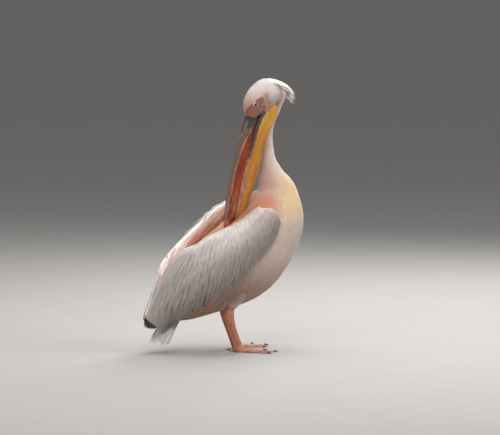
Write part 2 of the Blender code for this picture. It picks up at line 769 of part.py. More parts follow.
def main():
    clear_scene()
    stance = bpy.data.objects.new("stance", None)
    bpy.context.scene.collection.objects.link(stance)
    stance.location = STANCE
    bpy.context.view_layer.update()

    body = make_trunk_and_neck()
    head = make_head()
    upper, lower, nail = make_upper_bill(), make_lower_bill(), make_nail()
    carve(body["trunk"], nail, upper, lower)
    carve(make_pouch(), head, body["neck_upper"], lower, body["trunk"])
    carve(make_crest(), body["neck_upper"], head)
    carve(body["neck_upper"], head)
    eyes = [make_eye(side) for side in ("left", "right")]
    carve(head, lower, *eyes)

    tail = make_tail()
    carve(tail, body["trunk"])
    for side in ("left", "right"):
        scapulars = carve(make_scapulars(side), body["trunk"])
        arm, flight = make_wing(side)
        primaries = make_primaries(side)
        carve(arm, body["trunk"], scapulars)
        carve(flight, body["trunk"], scapulars, tail)
        carve(primaries, body["trunk"], tail, flight)
        thigh, shank = make_leg(side)
        carve(thigh, body["trunk"], arm, flight)
        foot = make_foot(side)
        carve(shank, body["trunk"], thigh, foot)


if __name__ == "__main__":
    main()
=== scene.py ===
"""A great white pelican preening its back, life size: skin, plumage, bill, eyes and legs.

Metres, +Z up, the bird facing +X and its right side towards -Y. Every form is written from the stance,
the spot on the floor between the feet, and goes to its place when its mesh is made.
A form is a surface of two parameters. The skin is the forms of trunk, neck, head and thighs grown into
one, and each feather is a closed three-sided vane that follows the lie of the plumage over a form.
"""

import math
from itertools import product

import bmesh
import bpy
import numpy as np
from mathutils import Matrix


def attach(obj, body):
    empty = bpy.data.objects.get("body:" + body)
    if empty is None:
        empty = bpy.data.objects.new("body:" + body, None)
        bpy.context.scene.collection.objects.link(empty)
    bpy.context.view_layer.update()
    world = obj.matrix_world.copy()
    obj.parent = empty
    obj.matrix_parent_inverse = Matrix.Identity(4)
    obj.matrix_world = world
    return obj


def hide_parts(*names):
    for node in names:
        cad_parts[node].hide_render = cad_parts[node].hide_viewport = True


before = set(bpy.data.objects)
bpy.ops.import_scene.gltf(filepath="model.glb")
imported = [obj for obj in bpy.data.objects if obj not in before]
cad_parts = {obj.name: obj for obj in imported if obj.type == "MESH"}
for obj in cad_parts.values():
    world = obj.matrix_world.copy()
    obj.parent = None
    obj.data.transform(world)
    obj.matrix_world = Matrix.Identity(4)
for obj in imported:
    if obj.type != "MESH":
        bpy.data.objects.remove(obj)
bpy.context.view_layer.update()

bl_info = {
    "name": "Preening Pelican",
    "version": (1, 0, 0),
    "blender": (4, 5, 0),
    "location": "3D View > Sidebar > Pelican",
    "description": "Builds the skin, plumage, bill, eyes and legs of a great white pelican",
    "category": "Add Mesh",
}

BODY_NAME = "root"
STANCE = np.array([0.0425, 0.0, 0.0])
TURN = 2 * math.pi
SIDES = ("left", "right")

# Body line, tail root to nape: x, y, z, half width, depth to the back, depth to the belly
BODY = (
    (-0.232, 0.0, 0.118, 0.03, 0.022, 0.026),
    (-0.19, 0.0, 0.158, 0.066, 0.06, 0.072),
    (-0.13, 0.0, 0.215, 0.096, 0.088, 0.118),
    (-0.06, 0.0, 0.275, 0.116, 0.094, 0.156),
    (0.012, 0.0, 0.33, 0.124, 0.092, 0.168),
    (0.078, 0.0, 0.388, 0.118, 0.088, 0.15),
    (0.122, 0.0, 0.447, 0.098, 0.084, 0.118),
    (0.138, 0.0, 0.505, 0.067, 0.068, 0.072),
    (0.125, 0.002, 0.556, 0.044, 0.045, 0.043),
    (0.111, 0.004, 0.6, 0.031, 0.031, 0.031),
    (0.105, 0.005, 0.645, 0.027, 0.027, 0.027),
    (0.104, 0.004, 0.69, 0.025, 0.025, 0.025),
    (0.111, -0.002, 0.735, 0.025, 0.025, 0.025),
    (0.123, -0.014, 0.778, 0.028, 0.027, 0.027),
    (0.121, -0.034, 0.815, 0.031, 0.032, 0.032),
    (0.098, -0.05, 0.838, 0.028, 0.027, 0.027),
)

# Head frame: the forehead point where the culmen starts, the bill's aim and the crown's way
FOREHEAD = np.array([0.0156, -0.06, 0.76])
BILL_AIM = (-0.214, 0.08, -0.974)
CROWN_AIM = (-0.955, -0.235, 0.155)

# Head, nape to bill: distance along the aim, top and bottom height, half width
HEAD = (
    (-0.1245, -0.046, -0.064, 0.008),
    (-0.117, -0.03, -0.09, 0.024),
    (-0.104, -0.013, -0.106, 0.032),
    (-0.083, 0.004, -0.111, 0.036),
    (-0.06, 0.0135, -0.103, 0.0365),
    (-0.036, 0.0172, -0.086, 0.033),
    (-0.015, 0.012, -0.066, 0.028),
    (0.001, 0.005, -0.047, 0.0232),
    (0.0075, 0.0018, -0.034, 0.0205),
)
HEAD_MIDDLE = np.array([-0.06, -0.047, 0.0])  # along, height, left
NAPE_WAY = np.array([-0.8, -0.6, 0.0])  # where the head's feathers point
EYE_PLACE = (-0.038, -0.0092)  # along, height
EYE_SIDE = 0.0221
EYE_R = 0.0078
BARE_FACE = ((0.012, 0.012), (-0.01, 0.0098), (-0.022, 0.0072), (-0.036, 0.0022),
             (-0.05, -0.007), (-0.061, -0.0165), (-0.0655, -0.0215), (-0.066, -0.0255),
             (-0.06, -0.0325), (-0.052, -0.0385), (-0.044, -0.042), (-0.037, -0.047),
             (-0.033, -0.054), (0.012, -0.05))  # along, height
CHEEK = (-0.084, -0.058)
CHEEK_CREASE = ((-0.113, -0.069), (-0.103, -0.085), (-0.092, -0.0975), (-0.075, -0.101),
                (-0.058, -0.094))
CREASE_HALF = 0.0088
UNDER_CHEEK = ((-0.07, -0.036), (-0.052, -0.046), (-0.046, -0.056))

# Upper bill: distance along, ridge height, edge height, half width
UPPER_BILL = (
    (0.003, 0.0, -0.035, 0.0215),
    (0.06, 0.004, -0.0325, 0.022),
    (0.115, 0.006, -0.0315, 0.022),
    (0.185, 0.005, -0.029, 0.023),
    (0.255, 0.002, -0.0295, 0.024),
    (0.3, -0.0035, -0.032, 0.0225),
    (0.332, -0.009, -0.033, 0.0165),
    (0.355, -0.014, -0.034, 0.0095),
)
CULMEN = 0.377
RIDGE_SHARE = 0.3
NAIL_HOOK = 0.006

# Lower bill, one side, gape to tip: distance along, height of its middle, half depth, half width out
LOWER_BILL = (
    (-0.034, -0.06, 0.007, 0.0275),
    (0.01, -0.0445, 0.0115, 0.0262),
    (0.08, -0.04, 0.011, 0.0232),
    (0.16, -0.0385, 0.0102, 0.0222),
    (0.24, -0.038, 0.0088, 0.0225),
    (0.3, -0.0405, 0.007, 0.0195),
    (0.328, -0.0435, 0.005, 0.0115),
)
JAW_HALF_THICK = 0.0026

# Pouch: distance along, height of its upper edge, height of its keel, half width
POUCH = (
    (-0.05, -0.08, -0.102, 0.018),
    (-0.034, -0.068, -0.1125, 0.0265),
    (-0.012, -0.058, -0.1125, 0.0275),
    (0.013, -0.054, -0.1075, 0.0265),
    (0.035, -0.0515, -0.103, 0.025),
    (0.06, -0.05, -0.099, 0.024),
    (0.097, -0.049, -0.0945, 0.023),
    (0.145, -0.0475, -0.0925, 0.0225),
    (0.2, -0.0465, -0.0915, 0.022),
    (0.253, -0.0455, -0.0865, 0.021),
    (0.293, -0.0465, -0.079, 0.0185),
    (0.322, -0.049, -0.07, 0.014),
    (0.34, -0.052, -0.062, 0.008),
)

# Wing line, wrist to tip: x, y, z, half chord, half thickness, wrap
WING = (
    (0.098, 0.104, 0.452, 0.021, 0.009, 0.004),
    (0.086, 0.112, 0.443, 0.039, 0.016, 0.01),
    (0.065, 0.121, 0.425, 0.05, 0.02, 0.018),
    (0.034, 0.13, 0.393, 0.058, 0.021, 0.024),
    (-0.004, 0.135, 0.361, 0.063, 0.02, 0.029),
    (-0.052, 0.134, 0.328, 0.071, 0.019, 0.033),
    (-0.102, 0.126, 0.292, 0.078, 0.017, 0.033),
    (-0.152, 0.11, 0.254, 0.082, 0.014, 0.03),
    (-0.202, 0.085, 0.212, 0.078, 0.011, 0.024),
    (-0.244, 0.061, 0.17, 0.066, 0.008, 0.018),
    (-0.272, 0.045, 0.135, 0.05, 0.006, 0.012),
    (-0.292, 0.034, 0.102, 0.036, 0.004, 0.008),
)
# Scapular ridge along the top of each wing: x, y, z, half width, half height
SCAPULARS = (
    (0.08, 0.092, 0.475, 0.009, 0.006),
    (0.052, 0.09, 0.476, 0.022, 0.012),
    (0.006, 0.091, 0.456, 0.028, 0.015),
    (-0.04, 0.094, 0.428, 0.031, 0.017),
    (-0.095, 0.092, 0.382, 0.03, 0.016),
    (-0.155, 0.08, 0.337, 0.027, 0.014),
    (-0.204, 0.06, 0.299, 0.021, 0.011),
    (-0.24, 0.046, 0.264, 0.01, 0.006),
)
RIDGE_MATCH = ((-0.254, -0.202, -0.152, -0.102, -0.052, -0.004, 0.034, 0.065, 0.098),
               (7.0, 6.3, 5.2, 4.25, 3.4, 2.6, 1.8, 0.95, 0.0))
DROOP = (0.038, 0.016)  # the right scapulars hang lower over the shoulder, higher at the rear
PRIMARIES = ((-0.238, 0.03, 0.15), (-0.3, 0.012, 0.082))

TAIL_ROOT = np.array([-0.205, 0.0, 0.128])
TAIL_TIP = np.array([-0.285, 0.0, 0.034])
TAIL_HALF_WIDTH = (0.034, 0.072)

# Legs, right side, hip to heel: x, y from the middle, z, half width, half depth fore and aft
THIGH = (
    (0.004, 0.052, 0.235, 0.038, 0.046),
    (-0.012, 0.059, 0.2, 0.033, 0.038),
    (-0.025, 0.062, 0.172, 0.025, 0.028),
    (-0.034, 0.062, 0.151, 0.016, 0.019),
    (-0.041, 0.062, 0.128, 0.0135, 0.0185),
)
SHANK = (
    (-0.034, 0.062, 0.1502, 0.01, 0.014),
    (-0.04, 0.062, 0.136, 0.01, 0.0145),
    (-0.044, 0.062, 0.118, 0.0125, 0.018),
    (-0.041, 0.062, 0.102, 0.01, 0.0165),
    (-0.033, 0.062, 0.075, 0.008, 0.014),
    (-0.022, 0.062, 0.045, 0.008, 0.0135),
    (-0.013, 0.062, 0.022, 0.0095, 0.014),
    (-0.01, 0.062, 0.0095, 0.01, 0.0135),
)
FOOT_SPREAD = 0.062
TOE = 0.118
HEEL_X = {"right": -0.012, "left": 0.022}
TOE_OUT = {"right": -20.0, "left": 13.0}
TOES = ((128.0, 0.42, 0.0048), (27.0, 0.8, 0.0058), (0.0, 1.0, 0.0064), (-27.0, 0.93, 0.0056))


# Number tools


def unit(vectors):
    """The vectors over their own lengths."""
    vectors = np.asarray(vectors, float)
    return vectors / np.maximum(np.linalg.norm(vectors, axis=-1, keepdims=True), 1e-12)


def bow(a, b, c, d, t):
    """Catmull-Rom curve from b to c, t from 0 to 1, with a before them and d after."""
    return b + 0.5 * t * (
        (c - a) + t * ((2 * a - 5 * b + 4 * c - d) + t * (3 * (b - c) + d - a))
    )


def through(rows, at):
    """Catmull-Rom curve through the rows, read at these positions, 0 at the first row."""
    rows = np.asarray(rows, float)
    at = np.clip(np.asarray(at, float), 0.0, len(rows) - 1.0)
    ends = np.vstack([2 * rows[0] - rows[1], rows, 2 * rows[-1] - rows[-2]])
    i = np.minimum(at.astype(int), len(rows) - 2)
    t = (at - i)[..., None]
    return bow(ends[i], ends[i + 1], ends[i + 2], ends[i + 3], t)


def evenly(rows, steps=1600):
    """The curve through the rows as a table by distance: distances, and the rows there."""
    fine = through(rows, np.linspace(0, len(rows) - 1, steps))
    moved = np.linalg.norm(np.diff(fine[:, :3], axis=0), axis=1)
    return np.concatenate([[0.0], np.cumsum(moved)]), fine


def read(table, at):
    """The table's rows at these positions, any shape."""
    along, rows = table
    return np.stack([np.interp(at, along, column) for column in rows.T], axis=-1)


def smooth(x, low, high):
    """0 below low, 1 above high, and a smooth step between."""
    t = np.clip((np.asarray(x, float) - low) / (high - low), 0.0, 1.0)
    return t * t * (3 - 2 * t)


def hump(x, middle, width):
    """A bell: 1 at the middle, about a third one width away."""
    return np.exp(-(((np.asarray(x, float) - middle) / width) ** 2))


def noise(points, size, seed=0):
    """Smooth value noise from -1 to 1: scrambled values on a lattice of this size, blended."""
    cell = np.asarray(points, float) / size
    base = np.floor(cell).astype(np.int64)
    part = cell - base
    part = part * part * (3 - 2 * part)
    total = np.zeros(cell.shape[:-1])
    for corner in product((0, 1), repeat=3):
        at = base + np.array(corner)
        key = (at[..., 0] * 73856093) ^ (at[..., 1] * 19349663) ^ (at[..., 2] * 83492791)
        key = ((key ^ (seed * 2654435761)) & 0xFFFFFFFF) * 1274126177 & 0xFFFFFFFF
        key = ((key ^ (key >> 15)) * 668265263) & 0xFFFFFFFF
        value = ((key ^ (key >> 13)) & 0xFFFF) / 32767.5 - 1
        share = np.prod(np.where(np.array(corner) == 1, part, 1 - part), axis=-1)
        total += value * share
    return total


def colour(red, green, blue):
    """A linear colour from display values of 0 to 255."""
    c = np.array([red, green, blue]) / 255
    return np.where(c <= 0.04045, c / 12.92, ((c + 0.055) / 1.055) ** 2.4)


def blend(under, over, mask):
    """From under to over by the mask's share."""
    return under + (over - under) * np.asarray(mask)[..., None]


def line_distance(x, y, corners):
    """Distance of each (x, y) from an open line of straight stretches."""
    nearest = np.full(np.shape(x), 1e9)
    for (ax, ay), (bx, by) in zip(corners, corners[1:]):
        run = (bx - ax) ** 2 + (by - ay) ** 2
        t = np.clip(((x - ax) * (bx - ax) + (y - ay) * (by - ay)) / run, 0, 1)
        nearest = np.minimum(nearest, np.hypot(x - ax - t * (bx - ax), y - ay - t * (by - ay)))
    return nearest


def depth_inside(x, y, corners):
    """How far each (x, y) lies inside a closed outline; below 0 outside."""
    inside = np.zeros(np.shape(x), bool)
    ring = list(corners) + [corners[0]]
    for (ax, ay), (bx, by) in zip(ring, ring[1:]):
        crosses = (ay > y) != (by > y)
        inside ^= crosses & (x < (bx - ax) * (y - ay) / (by - ay + 1e-12) + ax)
    far = line_distance(x, y, ring)
    return np.where(inside, far, -far)


# Forms


class Form:
    """A surface of two parameters, with its outer side and its unwrap to the unit square."""

    def __init__(self, place, unwrap, out=1.0, steps=(1e-3, 1e-2)):
        self.place, self.unwrap, self.out, self.steps = place, unwrap, out, steps

    def frame(self, p, q):
        """Place, change along p and along q, and the outward normal, by small differences."""
        dp, dq = self.steps
        along = (self.place(p + dp, q) - self.place(p - dp, q)) / (2 * dp)
        round_ = (self.place(p, q + dq) - self.place(p, q - dq)) / (2 * dq)
        return self.place(p, q), along, round_, self.out * unit(np.cross(along, round_))


BODY_LINE = evenly(BODY)
BODY_LENGTH = float(BODY_LINE[0][-1])
COAT_AT = (0.0, 0.05, 0.42, 0.5, 0.6, BODY_LENGTH - 0.1, BODY_LENGTH)
COAT_DEPTH = (0.003, 0.0034, 0.0034, 0.003, 0.0024, 0.002, 0.0018)


def body_axes(s):
    """Row, side way and back way of the body line at each distance."""
    rows = read(BODY_LINE, s)
    tangent = unit(read(BODY_LINE, s + 0.004)[..., :3] - read(BODY_LINE, s - 0.004)[..., :3])
    side = unit(np.array([0.0, 1.0, 0.0]) - tangent * tangent[..., 1:2])
    return rows, side, np.cross(tangent, side)


def body_place(s, a):
    """Skin of trunk and neck: half ellipses across the body line, less the depth of the coat."""
    s, a = np.broadcast_arrays(np.asarray(s, float), np.asarray(a, float))
    rows, side, back = body_axes(s)
    coat = np.interp(s, COAT_AT, COAT_DEPTH)
    depth = np.where(np.sin(a) > 0, rows[..., 4], rows[..., 5]) - coat
    return (
        rows[..., :3]
        + side * ((rows[..., 3] - coat) * np.cos(a))[..., None]
        + back * (depth * np.sin(a))[..., None]
    )


def body_share(points):
    """How far out each point lies from the body line: below 1 inside the skin."""
    along, fine = BODY_LINE
    some = slice(None, None, 8)
    nearest = np.empty(len(points), int)
    for start in range(0, len(points), 4000):
        part = points[start:start + 4000, None] - fine[None, some, :3]
        nearest[start:start + 4000] = (part ** 2).sum(-1).argmin(1)
    s = along[some][nearest]
    rows, side, back = body_axes(s)
    coat = np.interp(s, COAT_AT, COAT_DEPTH)
    gap = points - rows[:, :3]
    x, y = (gap * side).sum(1), (gap * back).sum(1)
    z = (gap * np.cross(side, back)).sum(1)
    depth = np.where(y > 0, rows[:, 4], rows[:, 5]) - coat
    return np.sqrt((x / (rows[:, 3] - coat)) ** 2 + (y / depth) ** 2 + (z / 0.03) ** 2)


BODY_FORM = Form(body_place, lambda s, a: (np.mod(a / TURN, 1.0), s / BODY_LENGTH), -1.0,
                 (2e-3, 1e-2))

AIM = unit(BILL_AIM)
CROWN = unit(np.array(CROWN_AIM) - AIM * np.dot(CROWN_AIM, AIM))
LEFT = np.cross(CROWN, AIM)
HEAD_COAT = 0.0015


def in_head(along, height, left):
    """Places of head coordinates: along the aim, up to the crown, and to the bird's left."""
    along, height, left = np.broadcast_arrays(along, height, left)
    return (FOREHEAD + along[..., None] * AIM + height[..., None] * CROWN
            + left[..., None] * LEFT)


def to_head(points):
    """Head coordinates of places: along, height and left."""
    gap = points - FOREHEAD
    return gap @ AIM, gap @ CROWN, gap @ LEFT


HEAD_FINE = through(HEAD, np.linspace(0, len(HEAD) - 1, 500))


def head_share(along, height, left):
    """Below 1 inside the head's skin: ellipses across the aim, closed at both ends."""
    top, bottom, half = (np.interp(along, HEAD_FINE[:, 0], HEAD_FINE[:, i]) for i in (1, 2, 3))
    middle, tall = (top + bottom) / 2, (top - bottom) / 2 - HEAD_COAT
    share = np.hypot((height - middle) / tall, left / (half - HEAD_COAT))
    outside = (along < HEAD[0][0] + HEAD_COAT) | (along > HEAD[-1][0])
    return np.where(outside, 9.0, share)


def head_relief(along, height, left):
    """The cheek's puff, the crease behind it, the brow and the shallow step of the bare face."""
    side = smooth(np.abs(left), 0.003, 0.012)
    puff = 0.0042 * hump(along, CHEEK[0], 0.017) * hump(height, CHEEK[1], 0.019)
    crease = 0.0038 * hump(line_distance(along, height, CHEEK_CREASE), 0, 0.0055)
    crease = crease + 0.0014 * hump(line_distance(along, height, UNDER_CHEEK), 0, 0.01)
    brow = 0.001 * hump(along, -0.045, 0.02) * hump(height, 0.005, 0.004)
    bare = 0.0008 * smooth(bare_depth(along, height, left), -0.0006, 0.0012)
    return side * (puff - crease + brow) - bare


def bare_depth(along, height, left):
    """How far inside the bare face a place lies: its outline, less the wedge of plumage that
    narrows over the forehead to the bill."""
    wedge = 0.0012 + 0.34 * np.maximum(-along, 0.0)
    return np.minimum(depth_inside(along, height, BARE_FACE), np.abs(left) - wedge)


FLOW = -unit(NAPE_WAY)
FLOW_UP = np.array([-FLOW[1], FLOW[0], 0.0])


def head_place(p, q):
    """Skin of the head: rays from its middle, p from the forehead's pole to the nape's and q round
    that line (0 over the crown, a quarter turn at the left), each to where the ellipses end."""
    p, q = np.broadcast_arrays(np.asarray(p, float), np.asarray(q, float))
    ray = (
        FLOW * np.cos(p)[..., None]
        + (FLOW_UP * np.cos(q)[..., None] + np.array([0, 0, 1.0]) * np.sin(q)[..., None])
        * np.sin(p)[..., None]
    )
    near, far = np.zeros(p.shape), np.full(p.shape, 0.13)
    for _ in range(17):
        middle = (near + far) / 2
        at = HEAD_MIDDLE + ray * middle[..., None]
        inside = head_share(at[..., 0], at[..., 1], at[..., 2]) < 1
        near, far = np.where(inside, middle, near), np.where(inside, far, middle)
    at = HEAD_MIDDLE + ray * near[..., None]
    at = at + ray * head_relief(at[..., 0], at[..., 1], at[..., 2])[..., None]
    return in_head(at[..., 0], at[..., 1], at[..., 2])


HEAD_FORM = Form(head_place, lambda p, q: (np.mod(q / TURN, 1.0), p / math.pi), 1.0, (2e-2, 2e-2))


def mirror_y(points, side):
    """Places for the left side as written, and reflected for the right."""
    return points if side == "left" else points * np.array([1.0, -1.0, 1.0])


WING_LINE = evenly(WING)
WING_COAT = 0.0038


def wing_sheet(u, v):
    """Middle, outward way and half thickness of a left wing at u from wrist to tip and v from
    lower to upper edge."""
    length = WING_LINE[0][-1]
    rows = read(WING_LINE, u * length)
    aim = unit(read(WING_LINE, u * length + 0.006)[..., :3]
               - read(WING_LINE, u * length - 0.006)[..., :3])
    lean = np.array([-0.1, 1.0, 0.36]) + np.array([0.0, 0.0, 0.7]) * (u ** 2)[..., None]
    normal = unit(lean - aim * (aim * lean).sum(-1, keepdims=True))
    chord = np.cross(aim, normal)
    chord = chord * np.sign(chord[..., 2:3])
    middle = (rows[..., :3] + chord * (rows[..., 3] * v)[..., None]
              - normal * (rows[..., 5] * v ** 2)[..., None])
    thick = rows[..., 4] * np.sqrt(np.maximum(1 - v ** 2, 0.004))
    return middle, normal, thick


WING_STOPS = (-1.0, -0.78, -0.38, 0.05, 0.45, 0.74)
RIDGE_TURNS = (38.0, 92.0, 146.0, 205.0)


def wing_stops(u, side):
    """Places across one wing's cover at each u: up the outer face, over the scapular ridge, and
    some way down the inner face."""
    stops = []
    for v in WING_STOPS:
        middle, normal, thick = wing_sheet(u, np.full(u.shape, v))
        out = np.maximum(thick - WING_COAT, 0.0005)
        stops.append(middle + normal * out[..., None])
    middle, normal, thick = wing_sheet(u, np.full(u.shape, 0.93))
    row = np.interp(read(WING_LINE, u * WING_LINE[0][-1])[..., 0], *RIDGE_MATCH)
    ridge = through(SCAPULARS, row)
    after = through(SCAPULARS, row + 0.1)[..., :3] - through(SCAPULARS, row - 0.1)[..., :3]
    tangent = unit(after)
    lean = np.array([-0.35, 0.55, 0.75])
    up = unit(lean - tangent * (tangent @ lean)[..., None])
    outer = np.cross(tangent, up)
    outer = outer * np.sign(outer[..., 1:2])
    centre = ridge[..., :3].copy()
    if side == "right":
        centre[..., 2] -= DROOP[0] * hump(centre[..., 0], -0.012, 0.078)
        centre[..., 2] += DROOP[1] * smooth(-centre[..., 0], 0.14, 0.21)
    held = smooth(u, 0.0, 0.1) * (1 - smooth(u, 0.84, 1.0))
    for turn in np.radians(RIDGE_TURNS):
        wide = np.maximum(ridge[..., 3] - WING_COAT, 0.002) * math.cos(turn)
        high = np.maximum(ridge[..., 4] - WING_COAT, 0.002) * math.sin(turn)
        top = centre + outer * wide[..., None] + up * high[..., None]
        lip = middle - normal * (0.01 * (1 - math.cos(turn)) / 2)
        stops.append(lip + (top - lip) * held[..., None])
    for v in (0.72, 0.4):
        middle, normal, thick = wing_sheet(u, np.full(u.shape, v))
        stops.append(middle - normal * np.maximum(thick - WING_COAT, 0.0005)[..., None])
    stops = np.stack(stops, axis=-2)
    for _ in range(2 if side == "right" else 1):
        stops[..., 4:9, :] = (stops[..., 3:8, :] + 2 * stops[..., 4:9, :] + stops[..., 5:10, :]) / 4
    return stops


LAST_W = (len(WING_STOPS) + len(RIDGE_TURNS) + 1) / (len(WING_STOPS) + len(RIDGE_TURNS) - 1)
WING_US = np.linspace(0, 1, 241)
WING_STOP_TABLE = {side: wing_stops(WING_US, side) for side in SIDES}


def wing_place(side):
    """Cover of a wing: a curve across through the stops of its section, straight on past its
    edges. u runs from wrist to tip, w from the lower edge (0) over the ridge to its inner side (1)
    and on down the inner face."""
    table = WING_STOP_TABLE[side]
    count = table.shape[1]

    def curve(u, w):
        low = np.minimum((u * (len(WING_US) - 1)).astype(int), len(WING_US) - 2)
        part = (u * (len(WING_US) - 1) - low)[..., None, None]
        stops = table[low] * (1 - part) + table[low + 1] * part
        stops = np.concatenate([2 * stops[..., :1, :] - stops[..., 1:2, :], stops,
                                2 * stops[..., -1:, :] - stops[..., -2:-1, :]], axis=-2)
        at = np.clip(w, 0, LAST_W) * (count - 1) / LAST_W
        i = np.minimum(at.astype(int), count - 2)
        t = (at - i)[..., None]
        four = (np.take_along_axis(stops, (i + k)[..., None, None], -2)[..., 0, :]
                for k in range(4))
        return bow(*four, t)

    def place(u, w):
        u, w = np.broadcast_arrays(np.asarray(u, float), np.asarray(w, float))
        cu, cw = np.clip(u, 0.0, 1.0), np.clip(w, 0.0, LAST_W)
        at = curve(cu, cw)
        small = 0.01
        over_u, over_w = u - cu, w - cw
        if np.any(over_u):
            inner = np.clip(cu, small, 1 - small)
            at = at + (curve(inner + small, cw) - curve(inner - small, cw)) \
                / (2 * small) * over_u[..., None]
        if np.any(over_w):
            inner = np.clip(cw, small, LAST_W - small)
            at = at + (curve(cu, inner + small) - curve(cu, inner - small)) \
                / (2 * small) * over_w[..., None]
        return mirror_y(at, side)

    return place


WING_FORMS = {
    side: Form(wing_place(side), lambda u, w: (np.clip(u, 0, 1), np.clip(w / LAST_W, 0, 1)),
               1.0 if side == "left" else -1.0, (4e-3, 8e-3))
    for side in SIDES
}


def limb_place(rows, side, coat):
    """Rings across a leg's line: p is the row, q the turn, 0 at the outer side."""
    shift = 0.0 if side == "right" else HEEL_X["left"] - HEEL_X["right"]

    def place(p, q):
        p, q = np.broadcast_arrays(np.asarray(p, float), np.asarray(q, float))
        row = through(rows, p)
        centre = row[..., :3] + np.array([shift, 0, 0])
        tangent = unit(through(rows, p + 0.2)[..., :3] - through(rows, p - 0.2)[..., :3])
        across = unit(np.array([0.0, 1.0, 0.0]) - tangent * tangent[..., 1:2])
        fore = np.cross(tangent, across)
        return mirror_y(centre + across * ((row[..., 3] - coat) * np.cos(q))[..., None]
                        + fore * ((row[..., 4] - coat) * np.sin(q))[..., None], side)

    return place


THIGH_COAT = 0.0045
THIGH_FORMS = {
    side: Form(limb_place(THIGH, side, THIGH_COAT),
               lambda p, q: (np.mod(q / TURN, 1.0), p / 3.0), 1.0, (2e-2, 2e-2))
    for side in SIDES
}
TAIL_UP = unit(np.cross(TAIL_TIP - TAIL_ROOT, (0.0, 1.0, 0.0)))
TAIL_UP = TAIL_UP * np.sign(TAIL_UP[2])


def tail_place(u, v):
    """The tail's sheet: u from root to tip and v across, the fan's sides bent down."""
    u, v = np.broadcast_arrays(np.asarray(u, float), np.asarray(v, float))
    half = TAIL_HALF_WIDTH[0] + (TAIL_HALF_WIDTH[1] - TAIL_HALF_WIDTH[0]) * u
    return (
        TAIL_ROOT + (TAIL_TIP - TAIL_ROOT) * u[..., None]
        + np.array([0.0, 1.0, 0.0]) * (half * v)[..., None]
        - TAIL_UP * (0.02 * v ** 2 * (0.4 + u))[..., None]
    )


TAIL_FORM = Form(tail_place, lambda u, v: (np.clip(u, 0, 1), (v + 1) / 2), 1.0, (1e-2, 1e-2))

# Markings, the same for skin and plumage

# name: what it colours, and its display values
COLOURS = {
    "blush": ("Head and neck plumage", (242, 223, 216)),
    "crown": ("Crown, nape and crest", (240, 230, 231)),
    "white": ("Cheek, wing ridge and tail", (246, 239, 236)),
    "breast": ("Breast plumage", (226, 200, 189)),
    "straw": ("Patch low on the neck's front", (240, 208, 156)),
    "apricot": ("Back between the wings, and vent", (226, 132, 84)),
    # The belly's colour is painted shade, laid where the underparts face down.
    "belly": ("Belly plumage", (174, 132, 112)),
    "olive": ("Smudge on the back", (150, 122, 88)),
    "peach": ("Forehead and wing flush", (226, 176, 154)),
    # This colour also serves as painted shade in the crease behind the cheek and below its puff.
    "rust": ("Crease behind the cheek", (170, 112, 82)),
    "wing": ("Wing coverts", (187, 175, 168)),
    # Stone and dusk darken the wings' lower parts, partly their own grey and partly painted shade.
    "stone": ("Wing hem and rear", (138, 125, 117)),
    "dusk": ("Low rear of the wings", (96, 86, 79)),
    "quill": ("Flight quills", (34, 31, 32)),
    "mauve": ("Bare face", (138, 93, 87)),
    "russet": ("Bare face by the bill", (152, 96, 76)),
    "lid": ("Eyelids", (216, 186, 182)),
    "iris": ("Iris", (58, 24, 18)),
    "ridge": ("Bill ridge", (108, 86, 73)),
    "slate": ("Bill base and jaw", (57, 59, 67)),
    "ember": ("Side plates of the bill", (132, 48, 15)),
    "wine": ("Side plates at the face", (110, 28, 22)),
    "tan": ("Front of the jaw, edge of the bill", (190, 138, 104)),
    "nail": ("Nail of the bill", (178, 48, 40)),
    "gold": ("Pouch", (198, 144, 44)),
    "amber": ("Middle of the pouch", (170, 104, 14)),
    "salmon": ("Legs", (184, 118, 90)),
    "shin": ("Fronts of the shanks", (160, 102, 78)),
    "rose": ("Toes and webs", (163, 114, 99)),
    "claw": ("Claws", (96, 78, 68)),
}


def hue(name):
    """A colour of the bird as the panel holds it."""
    return np.array(getattr(bpy.context.scene.pelican_colours, name))


def paint(name, count):
    """So many places of one colour."""
    return np.tile(hue(name), (count, 1))


def layers(tint, *coats):
    """The tint under coats in turn: each a colour, or its name, and its mask."""
    for shade, mask in coats:
        tint = blend(tint, hue(shade) if isinstance(shade, str) else shade, mask)
    return tint


